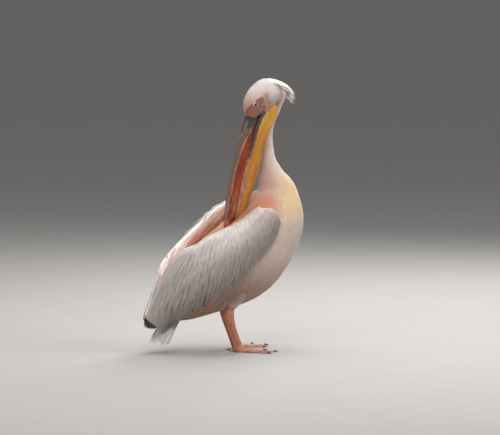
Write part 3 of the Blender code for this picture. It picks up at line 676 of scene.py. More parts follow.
def body_tint(points, up):
    """Plumage of trunk and neck: a blush neck, a straw patch low on its front, a rosy breast,
    an apricot back and vent with an olive smudge between the wings, and painted shade: brown where the
    underparts face down, and peach, in part, on the neck's hind side."""
    x, y, z = points.T
    streak = noise(points * (1.0, 1.0, 0.35), 0.012, 5)
    middle = np.interp(z, (0.505, 0.556, 0.6, 0.645, 0.69, 0.735),
                       (0.138, 0.125, 0.111, 0.105, 0.104, 0.111))
    hind = smooth(middle - x, -0.014, 0.022) * smooth(z, 0.49, 0.55) * (1 - smooth(z, 0.7, 0.77))
    shoulder = hump(x, 0.088, 0.05) * hump(z, 0.484, 0.032) * smooth(up, -0.3, 0.2)
    patch = smooth(x - 0.105, 0.0, 0.06) * hump(z, 0.505, 0.075) * smooth(z, 0.36, 0.47)
    under = smooth(0.34 - z - 0.25 * x, -0.03, 0.12)
    vent = smooth(-0.02 - x, 0.0, 0.12) * smooth(-up, -0.3, 0.4)
    back = smooth(up, 0.0, 0.55) * smooth(0.5 - z, -0.02, 0.05) * smooth(0.135 - x, 0.0, 0.05)
    smudge = hump(x, -0.045, 0.05) * hump(y, 0.03, 0.05) * back
    return layers(
        paint("breast", len(points)),
        ("blush", smooth(z, 0.5, 0.66)),
        # Partly painted shade: the neck's hind side, which lies in shade, is tinted peach.
        ("peach", 0.5 * hind),
        ("apricot", 0.8 * shoulder),
        ("straw", 0.95 * np.clip(patch * 1.25 + 0.12 * streak * patch, 0, 1)),
        # Painted shade: the underparts darkened to brown where they face down.
        ("belly", 0.85 * under * smooth(-up, -0.35, 0.5)),
        ("apricot", 0.55 * vent),
        ("apricot", (0.9 - 0.55 * smooth(-0.05 - x, 0.0, 0.12)) * back),
        ("olive", 0.5 * smudge * (0.75 + 0.25 * streak)))


def head_tint(along, height, left):
    """Head and neck top: white over the crown, peach at the forehead, rust-brown painted shade along
    the crease behind the cheek and below its puff, and the bare face mauve, russet towards the bill,
    with a pale rim round the eye."""
    tint = paint("crown", len(along))
    tint = layers(tint,
        ("blush", smooth(along, -0.1, -0.06)),
        ("peach", smooth(along, -0.078, -0.02)),
        # The whiter spot on the cheek's puff: its pale feathers, brightened further as a painted
        # highlight.
        ("white", 0.9 * hump(along, CHEEK[0], 0.016) * hump(height, CHEEK[1], 0.017)))
    side = smooth(np.abs(left), 0.003, 0.01)
    # Painted shade below and behind the cheek's puff, in rust-brown.
    shade = hump(line_distance(along, height, UNDER_CHEEK), 0, 0.011)
    tint = blend(tint, hue("rust"), 0.6 * side * shade)
    # Painted shade along the crease behind the cheek, in rust-brown.
    crease = hump(line_distance(along, height, CHEEK_CREASE), 0, CREASE_HALF)
    tint = blend(tint, hue("rust"), (0.72 + 0.2 * smooth(-along, 0.085, 0.112)) * side * crease)
    bare = smooth(bare_depth(along, height, left), -0.0008, 0.0006)
    rim = line_distance(along, height, BARE_FACE[2:12])
    mottle = noise(np.stack([along, height, left], axis=-1), 0.006, 61)
    face = layers(paint("mauve", len(along)),
        ("russet", smooth(along + 0.004 * mottle, -0.03, -0.004) * smooth(height, -0.03, -0.006)),
        ("lid", 0.35 * smooth(mottle, 0.0, 0.8) * smooth(-height, 0.014, 0.03)),
        (hue("rust") * 0.55, 0.75 * hump(rim, 0, 0.0017)))
    gape = hump(line_distance(along, height, ((-0.037, -0.05), (-0.002, -0.036))), 0, 0.0045)
    face = blend(face, hue("rose"), 0.6 * gape)
    ring = np.hypot(along - EYE_PLACE[0], height - EYE_PLACE[1])
    face = blend(face, hue("lid"), 0.5 * (1 - smooth(ring, 0.0066, 0.0094)))
    return blend(tint, face, bare), bare


def wing_tint(points, u, w):
    """Wing: pale grey coverts, stonier towards the lower hem and dusky at the rear, both partly the
    wing's own darker feathers and partly painted shade, a whitish ridge along the top and apricot down
    the inner face."""
    streak = noise(points * (1.0, 1.0, 0.4), 0.016, 9)
    low = smooth(0.6 - w, 0.0, 0.55)
    tint = layers(paint("wing", len(points)),
        # Towards the lower hem and rear: partly the wing's own greyer feathers, partly painted shade.
        ("stone", np.clip(0.85 * low + 0.15 * smooth(u, 0.5, 1.0) + 0.12 * streak, 0, 1)),
        ("peach", 0.16 * smooth(streak, 0.0, 0.7)),
        ("dusk", 0.9 * smooth(0.34 - w, 0.0, 0.34) * smooth(u, 0.1, 0.7)),
        ("white", 0.45 * smooth(w, 0.55, 0.75) + 0.5 * (points[:, 1] > 0) * smooth(w, 0.5, 0.7)))
    inner = np.where(points[:, 1] < 0, smooth(w, 0.98, 1.06) * (1 - 0.6 * smooth(u, 0.45, 0.8)),
                     0.8 * smooth(w, 1.0, 1.1) * (1 - smooth(u, 0.55, 0.75)))
    warm = blend(np.tile(hue("apricot") * 0.8, (len(points), 1)), hue("tan") * 1.1,
                 0.55 * (points[:, 1] > 0))
    return blend(tint, warm, inner)


# Meshes


def grid_quads(rows, columns, closed):
    """Quads of a grid of points, joined round its columns if closed."""
    index = np.arange(rows * columns).reshape(rows, columns)
    after = np.roll(index, -1, axis=1)
    quads = np.stack([index[:-1], after[:-1], after[1:], index[1:]], axis=-1)
    return (quads if closed else quads[:, :-1]).reshape(-1, 4)


def tube(rings):
    """A closed tube of rings by points by 3, each end fanned to its own middle."""
    rings = np.asarray(rings, float)
    count, around = rings.shape[:2]
    points = np.concatenate([rings.reshape(-1, 3), rings[0].mean(0)[None], rings[-1].mean(0)[None]])
    first = np.arange(around)
    last = first + (count - 1) * around
    start = np.stack([np.full(around, count * around), np.roll(first, -1), first], axis=-1)
    end = np.stack([np.full(around, count * around + 1), last, np.roll(last, -1)], axis=-1)
    return points, [grid_quads(count, around, True), np.concatenate([start, end])]


def shell(outer, inner):
    """A closed slab of an outer and an inner sheet, joined round their rim."""
    rows, columns = outer.shape[:2]
    count = rows * columns
    quads = grid_quads(rows, columns, False)
    index = np.arange(count).reshape(rows, columns)
    rim = np.concatenate([index[0], index[1:, -1], index[-1, -2::-1], index[-2:0:-1, 0]])
    after = np.roll(rim, -1)
    edge = np.stack([after, rim, rim + count, after + count], axis=-1)
    points = np.concatenate([outer.reshape(-1, 3), inner.reshape(-1, 3)])
    return points, [np.concatenate([quads, quads[:, ::-1] + count, edge])]


def volume(points, faces):
    """Signed volume: above 0 when the faces look outwards."""
    total = 0.0
    for part in faces:
        for k in range(1, part.shape[1] - 1):
            corners = points[part[:, [0, k, k + 1]]]
            total += np.einsum("ij,ij->i", corners[:, 0],
                               np.cross(corners[:, 1], corners[:, 2])).sum()
    return total


def outwards(points, faces):
    """The faces, turned over if their volume comes out below 0."""
    return faces if volume(points, faces) > 0 else [part[:, ::-1] for part in faces]


def gather(parts):
    """Several (points, faces) as one."""
    points, faces, base = [], [], 0
    for some, kinds in parts:
        points.append(some)
        faces += [kind + base for kind in outwards(some, kinds)]
        base += len(some)
    return np.concatenate(points), faces


def make_piece(name, points, faces, material, stands_for=(), tint=None, marks=None,
               maps=None, crisp=None):
    """A piece of the bird: a closed mesh on the body, with its colours, marks and maps."""
    mesh = bpy.data.meshes.new(name)
    corners = np.concatenate([part.ravel() for part in faces]).astype(np.int32)
    sizes = np.concatenate([np.full(len(part), part.shape[1]) for part in faces])
    mesh.vertices.add(len(points))
    mesh.vertices.foreach_set("co", (points + STANCE).astype(np.float32).ravel())
    mesh.loops.add(len(corners))
    mesh.loops.foreach_set("vertex_index", corners)
    mesh.polygons.add(len(sizes))
    mesh.polygons.foreach_set("loop_start",
                              np.concatenate([[0], np.cumsum(sizes)[:-1]]).astype(np.int32))
    mesh.update(calc_edges=True)
    mesh.shade_smooth()
    if crisp is not None:
        mesh.set_sharp_from_angle(angle=math.radians(crisp))
    if tint is not None:
        layer = mesh.color_attributes.new("tint", "FLOAT_COLOR", "POINT")
        rgba = np.concatenate([tint, np.ones((len(tint), 1))], axis=1)
        layer.data.foreach_set("color", rgba.astype(np.float32).ravel())
    for key, values in (marks or {}).items():
        layer = mesh.attributes.new(key, "FLOAT", "POINT")
        layer.data.foreach_set("value", np.asarray(values, np.float32))
    for key, values in (maps or {}).items():
        layer = mesh.uv_layers.new(name=key)
        layer.data.foreach_set("uv", values[corners].astype(np.float32).ravel())
    mesh.materials.append(material)
    piece = bpy.data.objects.new(name, mesh)
    bpy.context.scene.collection.objects.link(piece)
    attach(piece, BODY_NAME)
    if stands_for:
        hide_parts(*stands_for)
    return piece


# Plumage

BAKE_PATCH = 0.003
PIECE_TRIANGLES = 190000


def sow(form, start, end, gap_along, gap_round, rng, span=(0.0, TURN), jitter=0.35):
    """Roots in staggered rows: a row every gap along p, and in it a root every gap round q."""
    p, found, row = start, [], 0
    fine = np.linspace(*span, 121)
    while p < end:
        ring = form.place(np.full(fine.shape, p), fine)
        far = np.concatenate([[0], np.cumsum(np.linalg.norm(np.diff(ring, axis=0), axis=1))])
        count = max(int(far[-1] / gap_round(p)), 1)
        at = (np.arange(count) + 0.25 + 0.5 * (row % 2)
              + jitter * (rng.random(count) - 0.5)) / count
        q = np.interp(at * far[-1], far, fine)
        _, along, _, _ = form.frame(np.full(1, p), np.full(1, fine[60]))
        middle = np.linalg.norm(along[0])
        step = gap_along(p) / middle
        found.append(np.stack([p + step * jitter * (rng.random(count) - 0.5), q], axis=1))
        p, row = p + step, row + 1
    return np.concatenate(found).T


def vanes(form, p, q, lie, length, half, thick, rise, rows, taper=0.62, droop=0.0):
    """Vanes over a form. Each centre line starts at its root and takes equal steps along the lie,
    which gives the shares of the p way and the q way; it rises over the form by rise(t), and its
    half width is half times a leaf curve. The section is a low triangle: left edge, keel, right
    edge. Returns tufts by rows by 3 by 3 places."""
    centres, outs = [], []
    for i in range(rows):
        t = i / (rows - 1)
        place, along, round_, out = form.frame(p, q)
        centres.append(place + out * rise(t)[:, None])
        outs.append(out)
        size_p = np.linalg.norm(along, axis=1) + 1e-9
        size_q = np.linalg.norm(round_, axis=1) + 1e-9
        share_p, share_q = lie(p, q, t)
        whole = np.hypot(share_p, share_q)
        step = length / (rows - 1)
        p = p + np.clip(step * share_p / whole / size_p, -0.4, 0.4)
        q = q + np.clip(step * share_q / whole / size_q, -0.4, 0.4)
    centres, outs = np.stack(centres, axis=1), np.stack(outs, axis=1)
    t = np.linspace(0, 1, rows)
    centres[..., 2] -= droop * (t ** 2)[None]
    way = unit(np.gradient(centres, axis=1))
    across = unit(np.cross(outs, way))
    leaf = np.maximum(np.sin(math.pi * (0.03 + 0.97 * t) ** taper), 0.0) ** 0.8
    leaf = np.maximum(leaf, 0.05)
    wide = across * (half[:, None] * leaf)[..., None]
    high = outs * (thick[:, None] * np.maximum(leaf, 0.3))[..., None]
    return np.stack([centres + wide, centres + high, centres - wide], axis=2)


def curls(roots, knees, tips, half, thick, out, rows, taper=0.6):
    """Loose plumes: each a bow from its root, drawn towards its knee, to its tip."""
    t = np.linspace(0, 1, rows)[None, :, None]
    centres = (roots[:, None] * (1 - t) ** 2 + 2 * knees[:, None] * t * (1 - t)
               + tips[:, None] * t ** 2)
    way = unit(np.gradient(centres, axis=1))
    across = unit(np.cross(np.broadcast_to(out[:, None], way.shape), way))
    outs = np.cross(way, across)
    line = np.linspace(0, 1, rows)
    leaf = np.maximum(np.sin(math.pi * (0.12 + 0.88 * line) ** taper), 0.04)
    wide = across * (half[:, None] * leaf)[..., None]
    high = outs * (thick[:, None] * leaf)[..., None]
    return np.stack([centres + wide, centres + high, centres - wide], axis=2)


def vane_faces(tufts, rows):
    """Quads of the three sides of every vane, and a triangle at each end."""
    base = np.arange(tufts)[:, None] * (rows * 3)
    r = np.arange(rows - 1)[None] * 3
    sides = [
        np.stack([base + r + a, base + r + b, base + r + 3 + b, base + r + 3 + a], axis=-1)
        for a, b in ((0, 1), (1, 2), (2, 0))
    ]
    quads = np.concatenate([side.reshape(-1, 4) for side in sides])
    base = base[:, 0]
    last = base + (rows - 1) * 3
    root = np.stack([base, base + 2, base + 1], axis=-1)
    tip = np.stack([last, last + 1, last + 2], axis=-1)
    return [quads, np.concatenate([root, tip])]


def plume_pieces(name, strands, tint, unwrap, material, rng, stands_for=(), contrast=0.07):
    """Vanes as pieces of fewer than the most triangles, each vane with its colour, its fleck of
    light or dark, its own map across and along, and its patch on the unwrap of the form."""
    tufts, rows = strands.shape[:2]
    most = PIECE_TRIANGLES // ((rows - 1) * 6 + 2)
    parts = max(1, math.ceil(tufts / most))
    fleck = rng.normal(0.0, 1.0, tufts)
    tint = np.clip(tint * (1 + contrast * fleck)[:, None], 0.0, 0.95)
    x = np.array([0.0, 0.5, 1.0])[None, None, :]
    t = np.linspace(0, 1, rows)[None, :, None]
    shape = (tufts, rows, 3)
    vane_map = np.stack(np.broadcast_arrays(x + np.zeros(shape), t + np.zeros(shape)), axis=-1)
    bake = np.stack([unwrap[0][:, None, None] + (x - 0.5) * BAKE_PATCH + np.zeros(shape),
                     unwrap[1][:, None, None] + (t - 0.5) * BAKE_PATCH + np.zeros(shape)], axis=-1)
    bake = np.clip(bake, 0.0, 1.0)
    pieces = []
    for part, index in enumerate(np.array_split(np.arange(tufts), parts)):
        title = name if parts == 1 else f"{name}_{part + 1}"
        flat = len(index) * rows * 3
        pieces.append(make_piece(
            title, strands[index].reshape(flat, 3), vane_faces(len(index), rows), material,
            stands_for, tint=np.repeat(tint[index], rows * 3, axis=0),
            marks={"fleck": np.repeat(fleck[index], rows * 3)},
            maps={"vane": vane_map[index].reshape(flat, 2),
                  "OFBake": bake[index].reshape(flat, 2)},
            crisp=75.0,
        ))
    return pieces


# Finishes


def spaced(values):
    """Socket names from keyword names."""
    return {key.replace("_", " "): value for key, value in values.items()}


class Wiring:
    """Adds shader nodes to a tree. A value that is a socket is linked, and any other is set."""

    def __init__(self, tree):
        self.tree = tree

    def put(self, made, values):
        for key, value in values.items():
            if isinstance(value, bpy.types.NodeSocket):
                self.tree.links.new(value, made.inputs[key])
            else:
                made.inputs[key].default_value = value

    def add(self, kind, values=None, out=0, **settings):
        made = self.tree.nodes.new("ShaderNode" + kind)
        for key, value in settings.items():
            setattr(made, key, value)
        self.put(made, values or {})
        return made.outputs[out]

    def group(self, group, **values):
        """Places a group, and gives its outputs."""
        made = self.add("Group", node_tree=group).node
        self.put(made, spaced(values))
        return made.outputs

    def math(self, operation, *values):
        return self.add("Math", dict(enumerate(values)), operation=operation)

    def plus(self, a, b):
        return self.math("ADD", a, b)

    def less(self, a, b):
        return self.math("SUBTRACT", a, b)

    def times(self, a, b):
        return self.math("MULTIPLY", a, b)

    def mix(self, share, a, b):
        return self.add("Mix", {0: share, 6: a, 7: b}, out=2, data_type="RGBA")

    def span(self, value, low, high, start=0.0, end=1.0):
        """Smoothly from start to end as the value goes from low to high."""
        return self.add("MapRange", {"Value": value, "From Min": low, "From Max": high,
                                     "To Min": start, "To Max": end},
                        interpolation_type="SMOOTHSTEP")

    def scale(self, shade, amount):
        """A colour times a grey."""
        return self.add("VectorMath", {0: shade, "Scale": amount}, operation="SCALE")

    def place(self):
        return self.add("TexCoord", out=3)

    def map(self, name):
        split = self.tree.nodes.new("ShaderNodeSeparateXYZ")
        self.put(split, {0: self.add("UVMap", uv_map=name)})
        return split.outputs[0], split.outputs[1]

    def run(self, given):
        """The piece's own map, stretched by a group's Across and Along."""
        x, y = self.map("run")
        return self.add("CombineXYZ", {0: self.times(x, given["Across"]),
                                       1: self.times(y, given["Along"])})

    def noise(self, place, scale, detail, out=0, **more):
        return self.add("TexNoise", {"Vector": place, "Scale": scale, "Detail": detail, **more}, out)

    def cells(self, place, scale, feature="DISTANCE_TO_EDGE", out=0, **more):
        return self.add("TexVoronoi", {"Vector": place, "Scale": scale, **more}, out, feature=feature)

    def mark(self, name, out=0):
        return self.add("Attribute", attribute_name=name, out=out)

    def weathered(self, scale, amount, tint=None):
        """Colour and height of the piece's tint, weathered."""
        made = self.group(weathered_group(), Tint=tint or self.mark("tint"), Scale=scale,
                          Amount=amount)
        return made["Color"], made["Height"]


SOCKETS = {"Color": "NodeSocketColor", "Tint": "NodeSocketColor"}


def node_group(name, inputs, outputs, build):
    """A shader group built once: build gets a Wiring and the inputs, and returns the outputs."""
    if name in bpy.data.node_groups:
        return bpy.data.node_groups[name]
    group = bpy.data.node_groups.new(name, "ShaderNodeTree")
    for way, keys in (("INPUT", inputs), ("OUTPUT", outputs)):
        for key in keys:
            group.interface.new_socket(key, in_out=way,
                                       socket_type=SOCKETS.get(key, "NodeSocketFloat"))
    for socket in group.interface.items_tree:
        if socket.in_out == "INPUT":
            socket.default_value = inputs[socket.name]
    start = group.nodes.new("NodeGroupInput")
    end = group.nodes.new("NodeGroupOutput")
    made = build(Wiring(group), {key: start.outputs[key] for key in inputs})
    for key, socket in zip(outputs, made):
        group.links.new(socket, end.inputs[key])
    return group


def vane_group():
    """One vane's barbs, shaft, darker root and edges, broken up by a fine noise."""

    def build(w, given):
        x, y = w.map("vane")
        side = w.math("ABSOLUTE", w.math("MULTIPLY_ADD", x, 2.0, -1.0))
        slant = w.plus(w.times(y, given["Barbs"]), w.times(side, 1.6))
        barb = w.math("SINE", w.times(slant, TURN))
        shaft = w.span(side, 0.02, 0.2, 1.0, 0.0)
        root = w.span(y, 0.0, 0.62, given["Root shade"], 1.0)
        edge = w.span(side, 0.45, 1.0, 1.0, given["Edge shade"])
        grain = w.span(w.noise(w.place(), 210.0, 2.0), 0.3, 0.7, 0.94, 1.05)
        tinted = w.scale(given["Tint"], w.times(w.times(root, edge), grain))
        lit = w.mix(w.times(shaft, 0.18), tinted, (0.93, 0.9, 0.88, 1.0))
        return lit, w.plus(w.times(barb, 0.35), w.times(shaft, 0.8))

    return node_group("vane barbs", {"Tint": (0.8, 0.8, 0.8, 1.0), "Barbs": 26.0,
                                     "Root shade": 0.62, "Edge shade": 0.86},
                      ("Color", "Height"), build)


def weathered_group():
    """Broad and fine blotches over any surface, and their relief."""

    def build(w, given):
        place = w.place()
        broad = w.noise(place, given["Scale"], 5.0, Roughness=0.6)
        fine = w.noise(place, w.times(given["Scale"], 5.5), 3.0)
        both = w.plus(w.times(broad, 0.65), w.times(fine, 0.35))
        low, high = w.less(1.0, given["Amount"]), w.plus(1.0, given["Amount"])
        return w.scale(given["Tint"], w.span(both, 0.34, 0.66, low, high)), both

    return node_group("weathered", {"Tint": (0.8, 0.8, 0.8, 1.0), "Scale": 60.0, "Amount": 0.15},
                      ("Color", "Height"), build)


def streak_group():
    """Long streaks that follow a piece's own map: across it, and drawn out along it."""

    def build(w, given):
        return (w.span(w.noise(w.run(given), 1.0, 4.0, Roughness=0.62, Distortion=0.3), 0.33, 0.67),)

    return node_group("streaks", {"Across": 40.0, "Along": 6.0}, ("Mask",), build)


def scale_group():
    """Small plates of leg and toe skin: cells on the piece's own map, sunk between."""

    def build(w, given):
        place = w.run(given)
        gap = w.cells(place, 1.0, Randomness=0.65)
        cell = w.cells(place, 1.0, "F1", 1, Randomness=0.65)
        return w.span(gap, 0.02, 0.16), w.add("SeparateColor", {0: cell})

    return node_group("skin plates", {"Across": 22.0, "Along": 180.0}, ("Mask", "Tone"), build)


def crinkle_group():
    """Fine crossing creases of bare skin."""

    def build(w, given):
        place = w.place()
        bent = w.noise(place, w.times(given["Scale"], 0.3), 2.0, 1)
        moved = w.add("VectorMath", {0: place, 1: w.scale(bent, 0.006)}, operation="ADD")
        return (w.span(w.cells(moved, given["Scale"]), 0.0, 0.22),)

    return node_group("crinkles", {"Scale": 500.0}, ("Mask",), build)


def finish(name, build, **constants):
    """A material: build gets a Wiring and gives the shader's varying sockets, among them a Bump of
    height, distance and strength. The constants sit on the shader."""
    if name in bpy.data.materials:
        return bpy.data.materials[name]
    material = bpy.data.materials.new(name)
    material.use_nodes = True
    shader = material.node_tree.nodes["Principled BSDF"]
    w = Wiring(material.node_tree)
    w.put(shader, spaced(constants))
    varying = build(w)
    if "Bump" in varying:
        varying["Normal"] = w.add("Bump", dict(zip(("Height", "Distance", "Strength"),
                                                   varying.pop("Bump"))))
    w.put(shader, varying)
    return material


def plume_finish(name, barbs, root_shade, edge_shade, roughness=0.78, sheen=0.25, soft=0.3):
    """Plumage: each vane's own barbs, with sheen and soft light."""

    def build(w):
        made = w.group(vane_group(), Tint=w.mark("tint"), Barbs=barbs, Root_shade=root_shade,
                       Edge_shade=edge_shade)
        return {"Base Color": made["Color"], "Bump": (made["Height"], 0.0003, 0.6)}

    return finish(name, build, Roughness=roughness, Sheen_Weight=sheen, Sheen_Roughness=0.5,
                  Specular_IOR_Level=0.3, Subsurface_Weight=soft, Subsurface_Scale=0.006,
                  Subsurface_Radius=(1.0, 0.8, 0.7))


def skin_finish():
    """Skin: creased and smoother where it is bare, its bare creases darkened as painted shade."""

    def build(w):
        shade, height = w.weathered(130.0, 0.1)
        crease, bare = w.group(crinkle_group(), Scale=620.0)["Mask"], w.mark("bare", out=2)
        # Painted shade: the bare skin is darkened by a tenth along its sunk creases.
        held = w.times(w.less(1.0, crease), bare)
        return {"Base Color": w.scale(shade, w.less(1.0, w.times(held, 0.1))),
                "Roughness": w.span(bare, 0.0, 1.0, 0.85, 0.5),
                "Bump": (w.plus(height, w.times(crease, bare)), 0.0003, 0.4)}

    return finish("pelican skin", build, Roughness=0.7, Specular_IOR_Level=0.35)


def horn_finish(name, across, along, amount, specks, roughness):
    """Horn of the bill: its bands, streaked along its length and flecked with dark."""

    def build(w):
        run = w.group(streak_group(), Across=across, Along=along)["Mask"]
        shade, height = w.weathered(95.0, amount)
        streaked = w.scale(shade, w.span(run, 0.0, 1.0, 1 - amount, 1 + amount))
        spot = w.noise(w.place(), 160.0, 4.0, Roughness=0.7)
        fleck = w.times(w.span(spot, 0.6, 0.7), w.times(run, specks))
        return {"Base Color": w.mix(fleck, streaked, (0.03, 0.022, 0.022, 1.0)),
                "Roughness": w.span(run, 0.0, 1.0, roughness - 0.08, roughness + 0.12),
                "Bump": (w.plus(run, w.times(height, 0.8)), 0.0005, 0.5)}

    return finish(name, build, Roughness=roughness, Specular_IOR_Level=0.45, Coat_Weight=0.1,
                  Coat_Roughness=0.3)


def pouch_finish():
    """Pouch skin: folds along its map, and fine creases, their hollows darkened as painted shade."""

    def build(w):
        run = w.group(streak_group(), Across=26.0, Along=9.0)["Mask"]
        shade, _ = w.weathered(70.0, 0.1)
        # Painted shade: the colour is darker in the fold hollows and along the sunk creases.
        fold = w.scale(shade, w.span(run, 0.0, 1.0, 0.84, 1.08))
        crease = w.group(crinkle_group(), Scale=420.0)["Mask"]
        return {"Base Color": w.scale(fold, w.span(crease, 0.0, 1.0, 0.9, 1.0)),
                "Bump": (w.plus(run, w.times(crease, 0.5)), 0.0006, 0.55)}

    return finish("pouch skin", build, Roughness=0.46, Specular_IOR_Level=0.4, Sheen_Weight=0.05)


def leg_finish(name, across, along):
    """Leg and toe skin: plates outlined darker, each its own tone."""

    def build(w):
        plate = w.group(scale_group(), Across=across, Along=along)
        shade, height = w.weathered(85.0, 0.16)
        toned = w.scale(shade, w.span(plate["Tone"], 0.0, 1.0, 0.92, 1.06))
        return {"Base Color": w.scale(toned, w.span(plate["Mask"], 0.0, 1.0, 0.93, 1.0)),
                "Bump": (w.plus(plate["Mask"], w.times(height, 0.5)), 0.0003, 0.5)}

    return finish(name, build, Roughness=0.52, Specular_IOR_Level=0.4)


def eye_finish():
    """Wet and nearly smooth, mottled a little in colour alone."""
    return finish("eye", lambda w: {"Base Color": w.weathered(900.0, 0.3)[0]}, Roughness=0.08,
                  IOR=1.3, Specular_IOR_Level=0.18)


def claw_finish():
    """Fine weathered horn."""
    def build(w):
        shade, height = w.weathered(240.0, 0.22)
        return {"Base Color": shade, "Bump": (height, 0.0002, 0.6)}

    return finish("claw horn", build, Roughness=0.38)


def floor_finish(shade):
    """One matt shade, mottled a little."""
    return finish("studio floor", lambda w: {"Base Color": w.weathered(9.0, 0.02, (*shade, 1.0))[0]},
                  Roughness=0.85, Specular_IOR_Level=0.2)


FINISHES = {
    "down": lambda: plume_finish("body plumage", 22.0, 0.92, 0.97, soft=0.45),
    "fine": lambda: plume_finish("head and neck plumage", 9.0, 0.93, 0.98, sheen=0.35, soft=0.45),
    "crest": lambda: plume_finish("crest plumage", 9.0, 0.97, 0.96, sheen=0.5, soft=0.0),
    "wing": lambda: plume_finish("wing plumage", 40.0, 0.8, 0.9, roughness=0.72),
    "quill": lambda: plume_finish("dark quills", 60.0, 0.7, 0.75, roughness=0.55, sheen=0.1),
}


# Skin


def plain_mesh(name, points, faces):
    """A bare mesh, to be worked on and thrown away."""
    mesh = bpy.data.meshes.new(name)
    mesh.from_pydata(points.tolist(), [], [face for part in faces for face in part.tolist()])
    mesh.update()
    return mesh


def grown_together(parts, voxel, passes):
    """The parts as one closed skin: remeshed on a lattice this fine, and smoothed."""
    mesh = plain_mesh("raw skin", *gather(parts))
    raw = bpy.data.objects.new("raw_skin", mesh)
    bpy.context.scene.collection.objects.link(raw)
    remesh = raw.modifiers.new("one skin", "REMESH")
    remesh.mode = "VOXEL"
    remesh.voxel_size = voxel
    ease = raw.modifiers.new("ease", "SMOOTH")
    ease.factor = 0.5
    ease.iterations = passes
    graph = bpy.context.evaluated_depsgraph_get()
    graph.update()
    grown = bpy.data.meshes.new_from_object(raw.evaluated_get(graph))
    bpy.data.objects.remove(raw)
    return grown


def refine(mesh, near, passes):
    """Splits the faces whose every corner is near, and eases them; near takes places."""
    work = bmesh.new()
    work.from_mesh(mesh)
    for _ in range(passes):
        places = np.array([v.co for v in work.verts])
        close = near(places)
        work.verts.ensure_lookup_table()
        edges = [e for e in work.edges if close[e.verts[0].index] and close[e.verts[1].index]]
        bmesh.ops.subdivide_edges(work, edges=edges, cuts=1, use_grid_fill=True)
        work.verts.index_update()
        places = np.array([v.co for v in work.verts])
        close = near(places)
        work.verts.ensure_lookup_table()
        chosen = [v for v in work.verts if close[v.index]]
        bmesh.ops.smooth_vert(work, verts=chosen, factor=0.5, use_axis_x=True, use_axis_y=True,
                              use_axis_z=True)
    bmesh.ops.triangulate(work, faces=[f for f in work.faces if len(f.verts) > 4])
    work.to_mesh(mesh)
    work.free()
    return mesh


def mesh_arrays(mesh):
    """Points, normals and faces of a mesh, its faces grouped by their number of corners."""
    points = np.empty(len(mesh.vertices) * 3)
    mesh.vertices.foreach_get("co", points)
    normals = np.empty(len(mesh.vertices) * 3)
    mesh.vertex_normals.foreach_get("vector", normals)
    corners = np.empty(len(mesh.loops), np.int32)
    mesh.loops.foreach_get("vertex_index", corners)
    start, size = np.empty(len(mesh.polygons), np.int32), np.empty(len(mesh.polygons), np.int32)
    mesh.polygons.foreach_get("loop_start", start)
    mesh.polygons.foreach_get("loop_total", size)
    faces = [corners[start[size == n][:, None] + np.arange(n)] for n in (3, 4) if (size == n).any()]
    return points.reshape(-1, 3), normals.reshape(-1, 3), faces


def skin_left(along, height):
    """How far out the head's skin lies beside each (along, height)."""
    top, bottom, half = (np.interp(along, HEAD_FINE[:, 0], HEAD_FINE[:, i]) for i in (1, 2, 3))
    share = (height - (top + bottom) / 2) / ((top - bottom) / 2 - HEAD_COAT)
    return (half - HEAD_COAT) * np.sqrt(np.maximum(1 - share ** 2, 0.0))


LID_OPENING = 0.0054
LID_REACH = 0.0114


def lid_ring(side):
    """An eyelid: a ring round the eye, its inner edge on the eyeball and its outer one sunk in the
    skin, with fine creases round it. Front and back sheets close into one band."""
    turn = np.linspace(0, TURN, 120, endpoint=False)
    r = np.linspace(0, 1, 15) ** 1.15
    reach = LID_OPENING + (LID_REACH - LID_OPENING) * r[:, None]
    tall = 1 - 0.1 * np.sin(turn) ** 2
    along = EYE_PLACE[0] + reach * np.cos(turn)
    height = EYE_PLACE[1] + reach * tall * np.sin(turn)
    far = np.hypot(along - EYE_PLACE[0], height - EYE_PLACE[1])
    ball = EYE_SIDE + np.sqrt(np.maximum((EYE_R + 0.0003) ** 2 - far ** 2, 0))
    skin = skin_left(along, height)
    held = smooth(reach, LID_OPENING + 0.0004, 0.0095)
    plump = 0.0008 * hump(r, 0.16, 0.18) + 0.0003 * hump(r, 0.6, 0.12)
    crease = 0.00016 * np.sin(23 * turn + 9 * r[:, None]) * hump(r, 0.5, 0.35)[:, None]
    out = ball * (1 - held) + (skin - 0.0005) * held + plump[:, None] + crease
    out = np.where(far < EYE_R + 0.0006, np.maximum(out, ball + 0.0004), out)
    out[-1] -= 0.0012
    thick = 0.0008 + 0.0016 * smooth(r, 0, 0.3)[:, None]
    loop_along = np.concatenate([along, along[::-1]])
    loop_height = np.concatenate([height, height[::-1]])
    loop_out = np.concatenate([out, (out - thick)[::-1]])
    sign = 1 if side == "left" else -1
    points = in_head(loop_along, loop_height, sign * loop_out)
    rows = len(points)
    index = np.arange(rows * len(turn)).reshape(rows, len(turn))
    after = np.roll(index, -1, axis=1)
    quads = np.stack([index, after, np.roll(after, -1, axis=0), np.roll(index, -1, axis=0)],
                     axis=-1)
    return points.reshape(-1, 3), [quads.reshape(-1, 4)]


